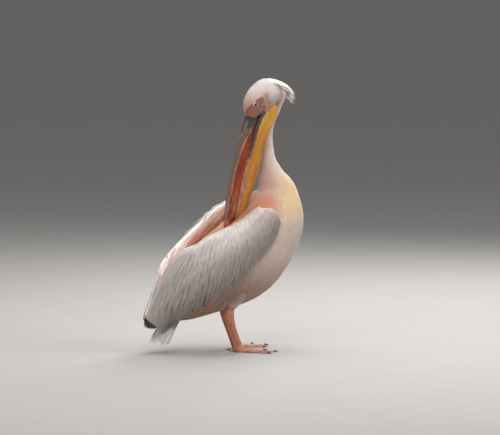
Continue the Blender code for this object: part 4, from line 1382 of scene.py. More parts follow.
def face_detail(points, normals):
    """Moves the skin of the face: sockets sunk behind the eyeballs, a furrow before the eye and
    soft creases below it. Returns the points."""
    along, height, left = to_head(points)
    sign = np.sign(left)
    near = (head_share(along, height, np.abs(left)) < 1.3) & (np.abs(left) > 0.006)
    ring = np.hypot(along - EYE_PLACE[0], height - EYE_PLACE[1])
    furrow = hump(line_distance(along, height, ((-0.006, -0.01), (-0.03, -0.012))), 0, 0.0016)
    fold = hump(line_distance(along, height, ((-0.052, -0.024), (-0.036, -0.027),
                                              (-0.018, -0.022))), 0, 0.0016)
    fold_back = hump(line_distance(along, height, ((-0.058, -0.012), (-0.055, -0.024))), 0, 0.0014)
    bare = smooth(bare_depth(along, height, left), 0.0, 0.004)
    lump = 0.00035 * noise(points, 0.0035, 3) + 0.0002 * noise(points, 0.0016, 4)
    move = bare * (lump - 0.0007 * furrow - 0.0007 * fold - 0.0006 * fold_back)
    points = points + normals * np.where(near, move, 0.0)[:, None]
    along, height, left = to_head(points)
    pit = near & (ring < 0.0066)
    sunk = np.where(pit, np.minimum(np.abs(left), EYE_SIDE - 0.001), np.abs(left))
    return in_head(along, height, sign * sunk)


FLESH = ("trunk", "neck_lower", "neck_middle", "neck_upper", "head", "thigh_left", "thigh_right")


def build_skin(sizes):
    """Skin: rings of the trunk and neck, the head and the thighs grown together on a lattice, made
    finer at the face and wrinkled there, with a torus-like lid ring round each eye."""
    s = np.linspace(0.003, BODY_LENGTH - 0.002, 300)[:, None]
    a = np.linspace(0, TURN, 96, endpoint=False)[None]
    p = np.linspace(0.03, math.pi - 0.03, 110)[:, None]
    parts = [tube(body_place(s, a)), tube(head_place(p, a))]
    rows = np.linspace(0, 3, 40)[:, None]
    parts += [tube(THIGH_FORMS[side].place(rows, a[:, ::2])) for side in SIDES]
    grown = grown_together(parts, sizes.skin_voxel, 5)

    def on_face(places):
        along, height, left = to_head(places)
        return (bare_depth(along, height, left) > -0.004) & (along > -0.09)

    grown = refine(grown, on_face, 2)
    points, normals, faces = mesh_arrays(grown)
    points = face_detail(points, normals)
    along, height, left = to_head(points)
    on_head, bare = head_tint(along, height, left)
    head_part = smooth(1.25 - head_share(along, height, left), 0.0, 0.22)
    # Painted shade: where the head's skin is feathered its colour is darkened to 0.8, so skin seen
    # between vanes looks shaded.
    tint = blend(body_tint(points, normals[:, 2]), on_head * (0.8 + 0.2 * bare[:, None]), head_part)
    bare = bare * head_part
    lids = [lid_ring(side) for side in SIDES]
    for ring_points, ring_faces in lids:
        ring_faces = outwards(ring_points, ring_faces)
        faces = faces + [part + len(points) for part in ring_faces]
        along, height, _ = to_head(ring_points)
        ring = np.hypot(along - EYE_PLACE[0], height - EYE_PLACE[1])
        pale = blend(paint("lid", len(ring)), hue("mauve"), smooth(ring, 0.0064, 0.0098))
        rim = hump(ring, LID_OPENING, 0.0006)
        pale = blend(pale, hue("mauve") * 0.35, rim)
        points = np.concatenate([points, ring_points])
        tint = np.concatenate([tint, pale])
        bare = np.concatenate([bare, np.ones(len(ring))])
    bpy.data.meshes.remove(grown)
    return make_piece("skin", points, faces, skin_finish(), FLESH, tint=tint,
                      marks={"bare": bare})


# Eyes


def build_eyes(sizes):
    """Each eye: a ball about the way it looks, its cornea swelling by a bell at the front."""
    theta = np.linspace(0.0, math.pi, 60)[1:-1, None]
    phi = np.linspace(0, TURN, 72, endpoint=False)[None]
    for side in SIDES:
        sign = 1 if side == "left" else -1
        look = unit(0.1 * AIM + 0.22 * CROWN + 0.97 * sign * LEFT)
        up = unit(CROWN - look * np.dot(CROWN, look))
        over = np.cross(look, up)
        radius = EYE_R * 0.985 + 0.0004 * np.exp(-(theta / 0.4) ** 2)
        centre = in_head(EYE_PLACE[0], EYE_PLACE[1], sign * EYE_SIDE)
        points = centre + (radius * np.cos(theta))[..., None] * look + (
            (radius * np.sin(theta))[..., None]
            * (np.cos(phi)[..., None] * up + np.sin(phi)[..., None] * over))
        points, faces = tube(points)
        angle = np.arccos(np.clip(unit(points - centre) @ look, -1, 1))
        ring = 0.75 + 0.25 * np.cos(34 * np.arctan2((points - centre) @ up, (points - centre) @ over))
        iris = hue("iris") * ring[:, None]
        tint = layers(iris,
            (np.array([0.004, 0.003, 0.003]), 1 - smooth(angle, 0.3, 0.36)),
            (np.array([0.012, 0.006, 0.005]), smooth(angle, 0.56, 0.64)))
        make_piece("eyeball_" + side, points, outwards(points, faces), eye_finish(),
                   ("eye_" + side,), tint=tint)


# Bill and pouch


def round_curve(stops, count):
    """A closed Catmull-Rom curve through the stops, which run along the second last axis."""
    k = stops.shape[-2]
    at = np.linspace(0, k, count, endpoint=False)
    i = at.astype(int)
    t = (at - i)[:, None]
    a, b, c, d = (stops[..., (i + n) % k, :] for n in (-1, 0, 1, 2))
    curve = b + 0.5 * t * ((c - a) + t * ((2 * a - 5 * b + 4 * c - d) + t * (3 * (b - c) + d - a)))
    return at, curve


def run_map(rows, columns, length, extra):
    """A map across (0 to 1 round) and along (in the piece's length) for a tube's points."""
    u = np.tile(np.linspace(0, 1, columns, endpoint=False), rows)
    v = np.repeat(np.linspace(0, length, rows), columns)
    ends = np.array([[0.5, 0.0], [0.5, length]])[:extra]
    return np.concatenate([np.stack([u, v], axis=1), ends])


def bill_tint(share, band):
    """Upper bill: a pale ridge, slate and sooty at its root, and side plates from wine to ember
    below a border that climbs the roof along the bill."""
    speck = noise(np.stack([share * 40, band * 4.0, share * 0], axis=1), 1.0, 11)
    fine = noise(np.stack([share * 240, band * 4.0, share * 0], axis=1), 1.0, 12)
    border = np.interp(share, (0.0, 0.05, 0.12, 0.2, 0.3), (4.9, 4.2, 3.1, 2.75, 2.6)) + 0.12 * speck
    sooty = smooth(share, 0.01, 0.03) * (1 - smooth(share, 0.05, 0.1))
    tint = layers(paint("ridge", len(share)),
        ("tan", 0.45 * smooth(share, 0.1, 0.28) * smooth(speck, -0.6, 0.8)),
        ("slate", (1 - smooth(share + 0.02 * speck, 0.03, 0.085)) * 0.92),
        (hue("tan") * 0.8, 0.6 * smooth(speck, 0.25, 0.7) * sooty),
        (hue("slate") * 0.5, 0.6 * smooth(fine, 0.25, 0.7) * hump(band, 1.6, 1.4)))
    plate = layers(paint("ember", len(share)),
        ("wine", 1 - smooth(share, 0.03, 0.15)),
        ("tan", 0.4 * smooth(share, 0.16, 0.32) * smooth(speck, -0.1, 0.6)),
        ("wine", 0.45 * smooth(band, 4.9, 5.8)))
    return layers(tint,
        (plate, smooth(band, border - 0.12, border + 0.2)),
        ("tan", 0.8 * hump(band, border - 0.25, 0.2) * smooth(share, 0.05, 0.12)),
        (hue("wine") * 0.3, 0.85 * hump(band, 6.4, 0.6)),
        (hue("slate") * 0.35, 1 - smooth(share, 0.003, 0.01)))


def build_upper_bill(sizes):
    """Upper bill: a roof of eight stops a side, its round ridge set off from the side plates by a
    groove and the plates' edge by a fainter one."""
    count, around = 220, 112
    rows = through(UPPER_BILL, np.linspace(0, len(UPPER_BILL) - 1, count))
    along, ridge, edge, half = rows.T
    sunk = 1 - smooth(along, 0.003, 0.0075)
    along = along - 0.009 * sunk
    ridge, edge, half = ridge - 0.0022 * sunk, edge + 0.0015 * sunk, half - 0.0018 * sunk
    drop, shoulder = ridge - edge, RIDGE_SHARE * half
    left = np.stack([0 * half, 0.62 * shoulder, shoulder, 1.35 * shoulder, 0.8 * half, half,
                     0.97 * half, 0.5 * half], axis=1)
    share = np.array([0.0, 0.06, 0.26, 0.4, 0.66, 0.9, 1.0, 0.9])
    height = ridge[:, None] - share * drop[:, None]
    height = np.concatenate([height, height[:, 7:8], height[:, :0:-1]], axis=1)
    left = np.concatenate([left, 0 * left[:, :1], -left[:, :0:-1]], axis=1)
    at, curve = round_curve(np.stack([left, height], axis=-1), around)
    band = np.minimum(at, 16 - at)
    middle = np.stack([0 * ridge, (ridge + edge) / 2], axis=1)[:, None]
    place = np.repeat(along[:, None], around, axis=1)
    wobble = 0.12 * noise(np.stack([place * 60, 0 * place, 0 * place], axis=-1), 1.0, 8)
    groove = 0.001 * hump(band, 2.75 + wobble, 0.3) + 0.0004 * hump(band, 4.7 + wobble, 0.22)
    ripple = 0.00022 * noise(np.stack([place * 30, band + 0 * place, 0 * place], axis=-1), 0.5, 2)
    gap = curve - middle
    curve = middle + gap * (1 - (groove + ripple) / np.linalg.norm(gap, axis=-1))[..., None]
    points, faces = tube(in_head(place, curve[..., 1], curve[..., 0]))
    share = np.append(np.repeat(along, around), [along[0], along[-1]])
    band = np.append(np.tile(band, count), [6.0, 6.0])
    make_piece("upper_bill", points, outwards(points, faces),
               horn_finish("bill horn", 46.0, 16.0, 0.2, 0.75, 0.36), ("bill_upper",),
               tint=bill_tint(share, band), maps={"run": run_map(count, around, CULMEN, 2)})


def build_nail(sizes):
    """Nail: ellipses that narrow as a quarter circle, and drop by a power curve into the hook."""
    start, ridge, edge, half = UPPER_BILL[-1]
    t = np.linspace(0, 1, 60)[:, None]
    turn = np.linspace(0, TURN, 64, endpoint=False)[None]
    narrow = np.sqrt(np.maximum(1 - t ** 2, 0.004))
    along = start - 0.009 + (CULMEN - start + 0.009) * np.sin(t * math.pi / 2)
    middle = (ridge + edge) / 2 - NAIL_HOOK * t ** 2.2 + 0.0015 * (1 - t)
    tall = (ridge - edge) / 2 * (1 - 0.55 * t) * 0.97
    keel = 1 + 0.06 * np.maximum(np.sin(turn), 0) ** 8
    lines = 1 + 0.012 * np.sin(17 * turn + 3 * t)
    wide = half * (0.97 - 0.2 * t) * narrow
    points, faces = tube(in_head(along + 0 * turn, middle + tall * keel * lines * np.sin(turn),
                                 wide * lines * np.cos(turn)))
    deep = np.append(np.repeat(t.ravel(), 64), [0, 1])
    tint = blend(paint("nail", len(deep)), (hue("ridge") + hue("tan")) / 2,
                 1 - smooth(deep, 0.2, 0.48))
    make_piece("hooked_nail", points, outwards(points, faces),
               horn_finish("nail horn", 20.0, 30.0, 0.16, 0.2, 0.3), ("bill_nail",),
               tint=tint, maps={"run": run_map(60, 64, 1.0, 2)})


def build_jaw(sizes):
    """Lower bill: one hairpin of bone from gape to tip and back, deep and thin, with a groove
    along its outer face."""
    rows = through(LOWER_BILL, np.linspace(0, len(LOWER_BILL) - 1, 110))
    bow = rows[-1, 3]
    bend = np.radians(np.linspace(6, 174, 29))
    tip = np.stack([rows[-1, 0] + bow * 0.62 * np.sin(bend), 0 * bend + rows[-1, 1],
                    0 * bend + rows[-1, 2], bow * np.cos(bend)], axis=1)
    path = np.vstack([rows, tip, rows[::-1] * np.array([1, 1, 1, -1])])
    centres = in_head(path[:, 0], path[:, 1], path[:, 3])
    tangent = unit(np.gradient(centres, axis=0))
    out = unit(np.cross(tangent, CROWN))
    turn = np.linspace(0, TURN, 36, endpoint=False)
    inner = in_head(path[:, 0], path[:, 1], 0.0) - centres
    facing = -np.sign((out * inner).sum(1))
    facing[np.abs(path[:, 3]) < 0.002] = facing[110]
    groove = 1 - 0.22 * hump(turn, 0.3, 0.2) - 0.18 * hump(turn, TURN - 0.35, 0.2)
    rings = (centres[:, None] + CROWN * (path[:, 2:3] * np.sin(turn))[..., None]
             + (out * facing[:, None])[:, None]
             * (JAW_HALF_THICK * np.cos(turn) * groove)[None, :, None])
    points, faces = tube(rings)
    along = np.append(np.repeat(path[:, 0], 36), [path[0, 0], path[-1, 0]])
    round_ = np.append(np.tile(np.sin(turn), len(path)), [0, 0])
    speck = noise(np.stack([along * 70, round_ * 1.5, along * 0], axis=1), 1.0, 21)
    tint = blend(paint("slate", len(along)), hue("tan"),
                 smooth(along + 0.02 * speck, 0.11, 0.17))
    tint = tint * (1 - 0.22 * smooth(along, 0.1, 0.16))[:, None]
    tint = blend(tint, hue("ember"), 0.55 * smooth(along, 0.14, 0.2) * smooth(speck, -0.5, 0.5))
    under = blend(paint("gold", len(along)), hue("amber"), smooth(along, 0.01, 0.09))
    tint = layers(tint,
        (under, smooth(-round_, -0.05, 0.12) * (1 - smooth(along, 0.16, 0.22))),
        (hue("wine") * 0.35, 0.75 * smooth(round_, 0.84, 0.98)),
        (hue("rust") * 0.9, smooth(-along, 0.019, 0.026)))
    make_piece("lower_bill", points, outwards(points, faces),
               horn_finish("jaw horn", 14.0, 60.0, 0.16, 0.35, 0.4), ("bill_lower",),
               tint=tint, maps={"run": run_map(len(path), 36, 2 * CULMEN, 2)})


def build_pouch(sizes):
    """Pouch: a bag under the jaw, its sides falling to a round keel by a power of the sine, drawn
    into fine lengthwise folds that fade out at its edges."""
    rows = through(POUCH, np.linspace(0, len(POUCH) - 1, 200))
    around = 118
    turn = np.linspace(0, math.pi, 110)[None]
    along, top, keel, half = (rows[:, i:i + 1] for i in range(4))
    slack = np.sin(turn) ** 0.5 * smooth(along, -0.05, 0.0)
    place = np.stack([along * 12 + 0 * turn, turn * 2.2 + 0 * along, 0 * along + 0 * turn], axis=-1)
    fold = 0.00055 * np.sin(34 * turn + 5 * noise(place, 1.0, 31)) + 0.0006 * noise(place, 0.4, 32)
    left = half * np.cos(turn) * (1 + slack * fold / half)
    height = top + (keel - top) * np.sin(turn) ** 0.85 - slack * fold * np.sin(turn)
    floor_of_mouth = np.linspace(-0.92, 0.92, 8)[None]
    left = np.concatenate([left, half * floor_of_mouth], axis=1)
    height = np.concatenate([height, top - 0.0012 + 0 * floor_of_mouth], axis=1)
    points, faces = tube(in_head(along + 0 * left, height, left))
    share = np.append(np.repeat(rows[:, 0], around), [rows[0, 0], rows[-1, 0]])
    mouth = np.append(np.tile(np.arange(around) >= 110, 200), [False, False])
    deep = np.append(np.tile(np.append(np.sin(turn.ravel()), np.zeros(8)), 200), [0.5, 0.5])
    patch = noise(np.stack([share * 22, deep * 2.4, share * 0], axis=1), 1.0, 33)
    tint = layers(paint("gold", len(share)),
        ("amber", np.clip(0.45 + 0.75 * hump(deep, 0.62, 0.3) * smooth(patch, -0.6, 0.6), 0, 1) *
            smooth(share, 0.01, 0.09) * (1 - smooth(share, 0.26, 0.32))),
        ("olive", 0.35 * smooth(share, 0.24, 0.33)),
        ("russet", 0.45 * (1 - smooth(share, -0.045, -0.02)) * (1 - deep)),
        (hue("wine") * 0.6, mouth))
    make_piece("bill_pouch", points, outwards(points, faces), pouch_finish(), ("pouch",),
               tint=tint, maps={"run": run_map(200, around, 0.39, 2)})

# Legs and feet


def build_legs(sizes):
    """Shanks: the leg's rings, ringed with plates down the front, wrinkled round the ankle and
    pebbled elsewhere, all as waves along and round the leg."""
    count, around = 260, 64
    p, q = np.linspace(0, 7, count)[:, None], np.linspace(0, TURN, around, endpoint=False)[None]
    for side in SIDES:
        form = Form(limb_place(SHANK, side, 0.0), None, 1.0, (2e-2, 2e-2))
        place, _, _, out = form.frame(p + 0 * q, q + 0 * p)
        z = place[..., 2]
        out = out * np.sign((out * (place - place.mean(1, keepdims=True))).sum(-1, keepdims=True))
        front = smooth(out[..., 0], 0.25, 0.8)
        ankle = hump(z, 0.118, 0.016)
        plates = 0.00045 * np.abs(np.sin(math.pi * z / 0.0052 + 0.5 * np.sin(2 * q))) ** 0.6 * front
        wave = noise(place, 0.006, 41)
        wrinkle = 0.0006 * ankle * np.sin(TURN * z / 0.004 + 3.0 * wave + 1.5 * np.sin(q))
        tendon = 0.0011 * hump(out[..., 0], -0.75, 0.22) * smooth(0.105 - z, 0.0, 0.02)
        hollow = 0.0012 * hump(out[..., 0], -0.35, 0.22) * smooth(0.105 - z, 0.0, 0.02)
        move = plates + wrinkle + tendon - hollow + 0.0002 * noise(place, 0.0022, 42)
        points, faces = tube(place + out * move[..., None])
        full = np.concatenate([z.ravel(), [z[0, 0], z[-1, 0]]])
        fore = np.concatenate([out[..., 0].ravel(), [0, 0]])
        tone = np.concatenate([wave.ravel(), [0, 0]])
        tint = layers(paint("salmon", len(full)),
            ("shin", 0.75 * smooth(0.104 - full, 0.0, 0.02) * (1 - 0.7 * smooth(fore, 0.3, 0.9))),
            ("rose", 0.6 * smooth(0.03 - full, 0.0, 0.02)),
            ("rust", 0.45 * hump(full, 0.106, 0.01) * smooth(tone, -0.4, 0.5)))
        make_piece("leg_" + side, points, outwards(points, faces),
                   leg_finish("shank skin", 20.0, 230.0), ("shank_" + side,), tint=tint,
                   maps={"run": run_map(count, around, 0.145, 2)})


def foot_frame(side):
    """Heel place, aim and inner way of a foot on the floor."""
    sign = -1 if side == "right" else 1
    turn = math.radians(TOE_OUT[side])
    aim = np.array([math.cos(turn), math.sin(turn), 0.0])
    inner = np.array([-aim[1], aim[0], 0.0]) * -sign
    return np.array([HEEL_X[side], sign * FOOT_SPREAD, 0.0]), aim, inner


def toe_way(side, turn):
    """The foot's aim turned inwards by this many degrees."""
    _, aim, inner = foot_frame(side)
    return aim * math.cos(math.radians(turn)) + inner * math.sin(math.radians(turn))


def toe_parts(side):
    """Toes: arches with flat soles, swollen at the joints by a cosine, ringed with small plates."""
    heel = foot_frame(side)[0]
    parts, maps = [], []
    for turn, share, half in TOES:
        way = toe_way(side, turn)
        across = np.cross((0, 0, 1), way)
        t = np.linspace(0, 1, 130)[:, None]
        knuckle = 1 + 0.13 * np.cos(5 * math.pi * t) + 0.025 * np.abs(np.sin(26 * math.pi * t))
        wide = half * (1 - 0.42 * t) * knuckle
        tall = wide * (1.75 - 0.55 * t)
        tall = tall * np.sqrt(np.clip((1.0 - t) / 0.06, 0.15, 1))
        arch = np.radians(np.linspace(0, 180, 22))
        flat = np.concatenate([np.cos(arch), [-0.78, -0.4, 0.0, 0.4, 0.78]])
        rise = np.concatenate([0.15 + 0.85 * np.sin(arch), np.zeros(5)])
        centre = heel + way * (TOE * share * t)
        rings = centre[:, None] + across * (wide * flat)[..., None]
        rings[..., 2] = tall * rise
        parts.append(tube(rings))
        maps.append(run_map(130, len(flat), TOE * share, 2))
    return parts, maps


def web_part(side):
    """Web: a thin sheet on a fan of angle and reach; its rim hangs in curves between the toe tips,
    it is thickest by the toes, and fine folds run out from the heel."""
    heel = foot_frame(side)[0]
    tips = [heel + toe_way(side, turn) * TOE * share * 0.955 for turn, share, _ in TOES]
    angle, reach = [], []
    for (start, _, _), (end, _, _), a, b in zip(TOES, TOES[1:], tips, tips[1:]):
        t = np.linspace(0, 1, 40)[:, None]
        rim = a + (b - a) * t + (heel - (a + b) / 2) * 0.66 * t * (1 - t)
        turns = start + (end - start) * t[:, 0]
        angle.append(turns)
        reach.append(np.linalg.norm(rim - heel, axis=1))
    angle, reach = np.concatenate(angle)[::-1], np.concatenate(reach)[::-1]
    fan = np.linspace(TOES[-1][0], TOES[0][0], 240)[:, None]
    out = np.linspace(0.02, 1, 60)[None]
    far = np.interp(fan, angle, reach) * out
    _, aim, inner = foot_frame(side)
    way = aim * np.cos(np.radians(fan))[..., None] + inner * np.sin(np.radians(fan))[..., None]
    flat = heel + way * far[..., None]
    gap = np.min([np.abs(np.sin(np.radians(fan - turn))) for turn, _, _ in TOES], axis=0) * far
    fold = 0.00035 * np.sin(fan * 0.9 + 2.0 * noise(flat, 0.012, 51)) * smooth(gap, 0.004, 0.014)
    top, bottom = flat.copy(), flat.copy()
    by_toe = 0.0018 * hump(gap, 0, 0.005) * (1 - 0.6 * out)
    top[..., 2] = 0.0017 + by_toe + fold * smooth(far, 0.02, 0.05)
    bottom[..., 2] = 0.0004
    return shell(top, bottom)


def claw_parts(side):
    """Claws: rings that taper by a root towards the point and curve down to the floor."""
    t = np.linspace(0, 1, 26)[:, None]
    ring = np.linspace(0, TURN, 20, endpoint=False)
    for turn, share, half in TOES:
        way = toe_way(side, turn)
        across = np.cross((0, 0, 1), way)
        wide = half * 0.46 * np.sqrt(np.maximum(1 - t ** 1.6, 0.006)) * np.cos(ring)
        rings = (foot_frame(side)[0] + way * (TOE * share + 0.015 * t - 0.004)[..., None]
                 + across * wide[..., None])
        rings[..., 2] = (0.0046 - 0.0026 * t ** 2
                         + 0.0034 * np.sqrt(np.maximum(1 - t ** 1.5, 0.006)) * np.sin(ring))
        rings[..., 2] = np.maximum(rings[..., 2], 0.0003)
        yield tube(rings)


def build_feet(sizes):
    """Feet: toes, web and a heel pad, all resting flat, and a curved claw at each toe's end."""
    for side in SIDES:
        heel, _, _ = foot_frame(side)
        parts, maps = toe_parts(side)
        web = web_part(side)
        parts.append(web)
        maps.append(np.stack([web[0][:, 0] * 9, web[0][:, 1]], axis=1))
        theta = np.linspace(0.05, math.pi - 0.05, 40)[:, None]
        phi = np.linspace(0, TURN, 48, endpoint=False)[None]
        pad = heel + np.array([0.004, 0.0, 0.0095]) + np.stack(
            [0.015 * np.sin(theta) * np.cos(phi), 0.0125 * np.sin(theta) * np.sin(phi),
             0.015 * np.cos(theta) + 0 * phi], axis=-1)
        pad[..., 2] = np.maximum(pad[..., 2], 0.0)
        parts.append(tube(pad))
        maps.append(run_map(40, 48, 0.04, 2))
        points, faces = gather(parts)
        tone = noise(points, 0.009, 52)
        far = np.linalg.norm(points - heel, axis=1)
        tint = layers(paint("salmon", len(points)),
            ("rose", smooth(far, 0.01, 0.05)),
            ("rust", 0.22 * smooth(tone, 0.0, 0.7)))
        make_piece("webbed_foot_" + side, points, faces, leg_finish("toe skin", 14.0, 420.0),
                   ("foot_" + side,), tint=tint, maps={"run": np.concatenate(maps)})
        points, faces = gather(claw_parts(side))
        far = np.linalg.norm(points - heel, axis=1)
        tint = paint("claw", len(points)) * (1 + 0.15 * np.sin(far * 900))[:, None]
        make_piece("claws_" + side, points, faces, claw_finish(), ("foot_" + side,), tint=tint)


# Wings and tail, the bare forms under their plumage


def build_wing_cores(sizes):
    """Under each wing's plumage: a slab whose outer sheet is the wing's form and whose inner one
    lies behind it by a thickness that dies away at the rim."""
    u, w = np.linspace(0.0, 1.0, 150)[:, None], np.linspace(0.0, 1.0, 90)[None]
    for side, form in WING_FORMS.items():
        place, _, _, out = form.frame(np.clip(u, 0.004, 0.996) + 0 * w,
                                      np.clip(w, 0.008, 0.992) + 0 * u)
        rim = np.sqrt(np.clip(np.minimum(np.minimum(w, 1 - w) / 0.25,
                                         np.minimum(u / 0.08, (1 - u) / 0.5)), 0.0, 1.0))
        inner = place - out * (0.0008 + 0.01 * rim)[..., None]
        points, faces = shell(place - out * 0.0006, inner)
        us, ws = (np.tile((c + 0 * d).ravel(), 2) for c, d in ((u, w), (w, u)))
        # Painted shade: the core takes the wing's tint darkened to 0.85, as shade under the plumage.
        tint = wing_tint(points, us, ws) * 0.85
        make_piece(f"wing_{side}_core", points, outwards(points, faces), skin_finish(),
                   [f"wing_{side}_{part}" for part in ("arm", "flight", "scapulars")],
                   tint=tint, marks={"bare": np.zeros(len(points))})


def build_tail_core(sizes):
    """Under the tail's plumage: the tail's sheet thickened, thinnest at its hem."""
    u, v = np.linspace(-0.05, 0.72, 50)[:, None], np.linspace(-0.94, 0.94, 60)[None]
    middle = tail_place(u + 0 * v, v + 0 * u)
    thick = (0.0065 - 0.0055 * u) * (1 - 0.7 * v ** 2)
    points, faces = shell(middle + TAIL_UP * thick[..., None], middle - TAIL_UP * thick[..., None])
    # Painted shade: the core is the tail's white darkened to 0.7, as shade under the feathers.
    tint = np.tile(hue("white") * 0.7, (len(points), 1))
    make_piece("tail_core", points, outwards(points, faces), skin_finish(), ("tail",),
               tint=tint, marks={"bare": np.zeros(len(points))})


# Plumage of each part


def under_wing(points):
    """True where a wing covers the body: close behind its outer sheet, away from its rim."""
    hidden = np.zeros(len(points), bool)
    u, w = np.meshgrid(np.linspace(0.05, 0.94, 44), np.linspace(0.12, 0.6, 20), indexing="ij")
    for form in WING_FORMS.values():
        place, _, _, out = form.frame(u.ravel(), w.ravel())
        for start in range(0, len(points), 2000):
            part = points[start:start + 2000]
            gap = ((part[:, None] - place[None]) ** 2).sum(-1)
            nearest = gap.argmin(1)
            behind = ((part - place[nearest]) * out[nearest]).sum(1)
            flat = np.sqrt(np.maximum(gap.min(1) - behind ** 2, 0))
            hidden[start:start + 2000] |= (behind < -0.004) & (behind > -0.09) & (flat < 0.012)
    return hidden


BODY_STOPS = (0.0, 0.1, 0.3, 0.44, 0.52, 0.6, 0.72, 1.2)
BODY_VANE_LENGTH = (0.034, 0.034, 0.032, 0.027, 0.021, 0.014, 0.011, 0.01)
BODY_VANE_HALF = (0.0024, 0.0024, 0.0021, 0.0017, 0.0013, 0.0009, 0.0008, 0.0007)
BODY_ROW_GAP = (0.007, 0.007, 0.0064, 0.0056, 0.0045, 0.0036, 0.0031, 0.0028)
BODY_ROUND_GAP = (0.0036, 0.0036, 0.0033, 0.0027, 0.0021, 0.0016, 0.0014, 0.0013)
NECK_FROM = 0.58  # along the body's line, where the neck's own piece begins
THIGH_FADE = (0.162, 0.188)  # heights between which a thigh's tint turns into the trunk's


def build_body_plumage(sizes):
    """Trunk and neck: vanes pointing tailwards, long on the trunk and short up the neck."""
    rng = np.random.default_rng(11)
    s, a = sow(BODY_FORM, 0.012, BODY_LENGTH - 0.004,
               lambda p: float(np.interp(p, BODY_STOPS, BODY_ROW_GAP)) * sizes.coat_gap,
               lambda p: float(np.interp(p, BODY_STOPS, BODY_ROUND_GAP)) * sizes.coat_gap, rng)
    place, _, _, out = BODY_FORM.frame(s, a)
    kept = (head_share(*to_head(place)) > 0.96) & ~under_wing(place)
    s, a, place, out = s[kept], a[kept], place[kept], out[kept]
    vary = 1 + 0.16 * rng.normal(size=len(s)).clip(-2, 2)
    length = np.interp(s, BODY_STOPS, BODY_VANE_LENGTH) * vary * sizes.coat_length
    half = np.interp(s, BODY_STOPS, BODY_VANE_HALF) * (0.85 + 0.3 * rng.random(len(s)))
    coat = np.interp(s, COAT_AT, COAT_DEPTH) * (0.88 + 0.2 * rng.random(len(s)))
    drift = 0.16 * rng.normal(size=len(s)) + 0.5 * noise(place, 0.05, 6)
    loose = 0.001 * rng.random(len(s)) * (s < 0.6)
    near = 0.0038 * smooth(1.45 - head_share(*to_head(place)), 0.0, 0.3)

    def rise(t):
        return -0.0012 + (0.0011 + 0.5 * coat + near) * t ** 0.6 + loose * t ** 3

    tint = body_tint(place, out[:, 2])
    on_head, _ = head_tint(*to_head(place))
    tint = blend(tint, on_head, smooth(1.6 - head_share(*to_head(place)), 0.0, 0.4))
    for name, part, rows, finish_name, look in (
            ("body_plumage", s < NECK_FROM, 5, "down", 0.055),
            ("neck_plumage", s >= NECK_FROM, 4, "fine", 0.035)):
        strands = vanes(BODY_FORM, s[part], a[part], lambda p, q, t: (-np.ones(len(p)), drift[part]),
                        length[part], half[part], 0.3 * half[part], lambda t: rise(t)[part], rows)
        plume_pieces(name, strands, tint[part], BODY_FORM.unwrap(s[part], a[part]),
                     FINISHES[finish_name](), rng, contrast=look)


def build_thigh_plumage(sizes):
    """Thigh tufts: vanes hanging down the thigh to the ankle."""
    rng = np.random.default_rng(12)
    for side, form in THIGH_FORMS.items():
        p, q = sow(form, 0.5, 2.75, lambda p: 0.0062, lambda p: 0.0028, rng, jitter=0.9)
        place, _, _, out = form.frame(p, q)
        outer = np.sign((out * (place - np.array([0, place[:, 1].mean(), 0]))).sum(1))
        form.out = form.out * (1 if np.median(outer) > 0 else -1)
        place, _, _, out = form.frame(p, q)
        kept = body_share(place) > 1.04
        p, q, place = p[kept], q[kept], place[kept]
        size = len(p)
        length = np.where(place[:, 2] < 0.17, 0.024, 0.032) * (0.7 + 0.6 * rng.random(size))
        half = 0.0016 * (0.8 + 0.4 * rng.random(size))
        drift = 0.3 * rng.normal(size=size)
        near = 0.003 * smooth(1.3 - body_share(place), 0.0, 0.25)
        strands = vanes(form, p, q, lambda p, q, t: (np.ones(size), drift), length, half,
                        0.2 * half, lambda t: -0.0006 + 0.0036 * t ** 0.8 + near * t ** 0.3, 5)
        # Taken as facing down, the thigh vanes get the underparts' painted shade.
        tint = blend(paint("breast", size), body_tint(place, np.full(size, -0.4)),
                     smooth(place[:, 2], *THIGH_FADE))
        plume_pieces("thigh_plumage_" + side, strands, tint, form.unwrap(p, q),
                     FINISHES["down"](), rng)


def build_head_plumage(sizes):
    """Head: tiny vanes that spread from the forehead and close at the nape; the face is bare."""
    rng = np.random.default_rng(13)
    p, q = sow(HEAD_FORM, 0.05, math.pi - 0.05, lambda p: 0.0029, lambda p: 0.0011, rng,
               jitter=0.9)
    place, _, _, _ = HEAD_FORM.frame(p, q)
    along, height, left = to_head(place)
    inside = bare_depth(along, height, left)
    kept = (inside < -0.0002) & (body_share(place) > 0.98) & (along < -0.0005)
    p, q, along, height, left, inside = (x[kept] for x in (p, q, along, height, left, inside))
    size = len(p)
    back = smooth(-along, 0.03, 0.1)
    length = (0.0075 + 0.0055 * back) * (0.7 + 0.6 * rng.random(size))
    half = (0.00052 + 0.00012 * back) * (0.8 + 0.4 * rng.random(size))
    drift = 0.13 * rng.normal(size=size) + 0.25 * noise(place[kept], 0.02, 7)
    coat = HEAD_COAT * (0.35 + 0.35 * smooth(-inside, 0.0, 0.006)) * (0.85 + 0.3 * rng.random(size))
    coat = coat + 0.004 * smooth(1.32 - body_share(place[kept]), 0.0, 0.25)
    tint, _ = head_tint(along, height, left)
    strands = vanes(HEAD_FORM, p, q, lambda p, q, t: (np.ones(size), drift), length, half,
                    0.22 * half, lambda t: -0.0007 + (0.65 * coat + 0.0006) * t ** 0.6, 4)
    plume_pieces("head_plumage", strands, tint, HEAD_FORM.unwrap(p, q), FINISHES["fine"](),
                 rng, contrast=0.035)


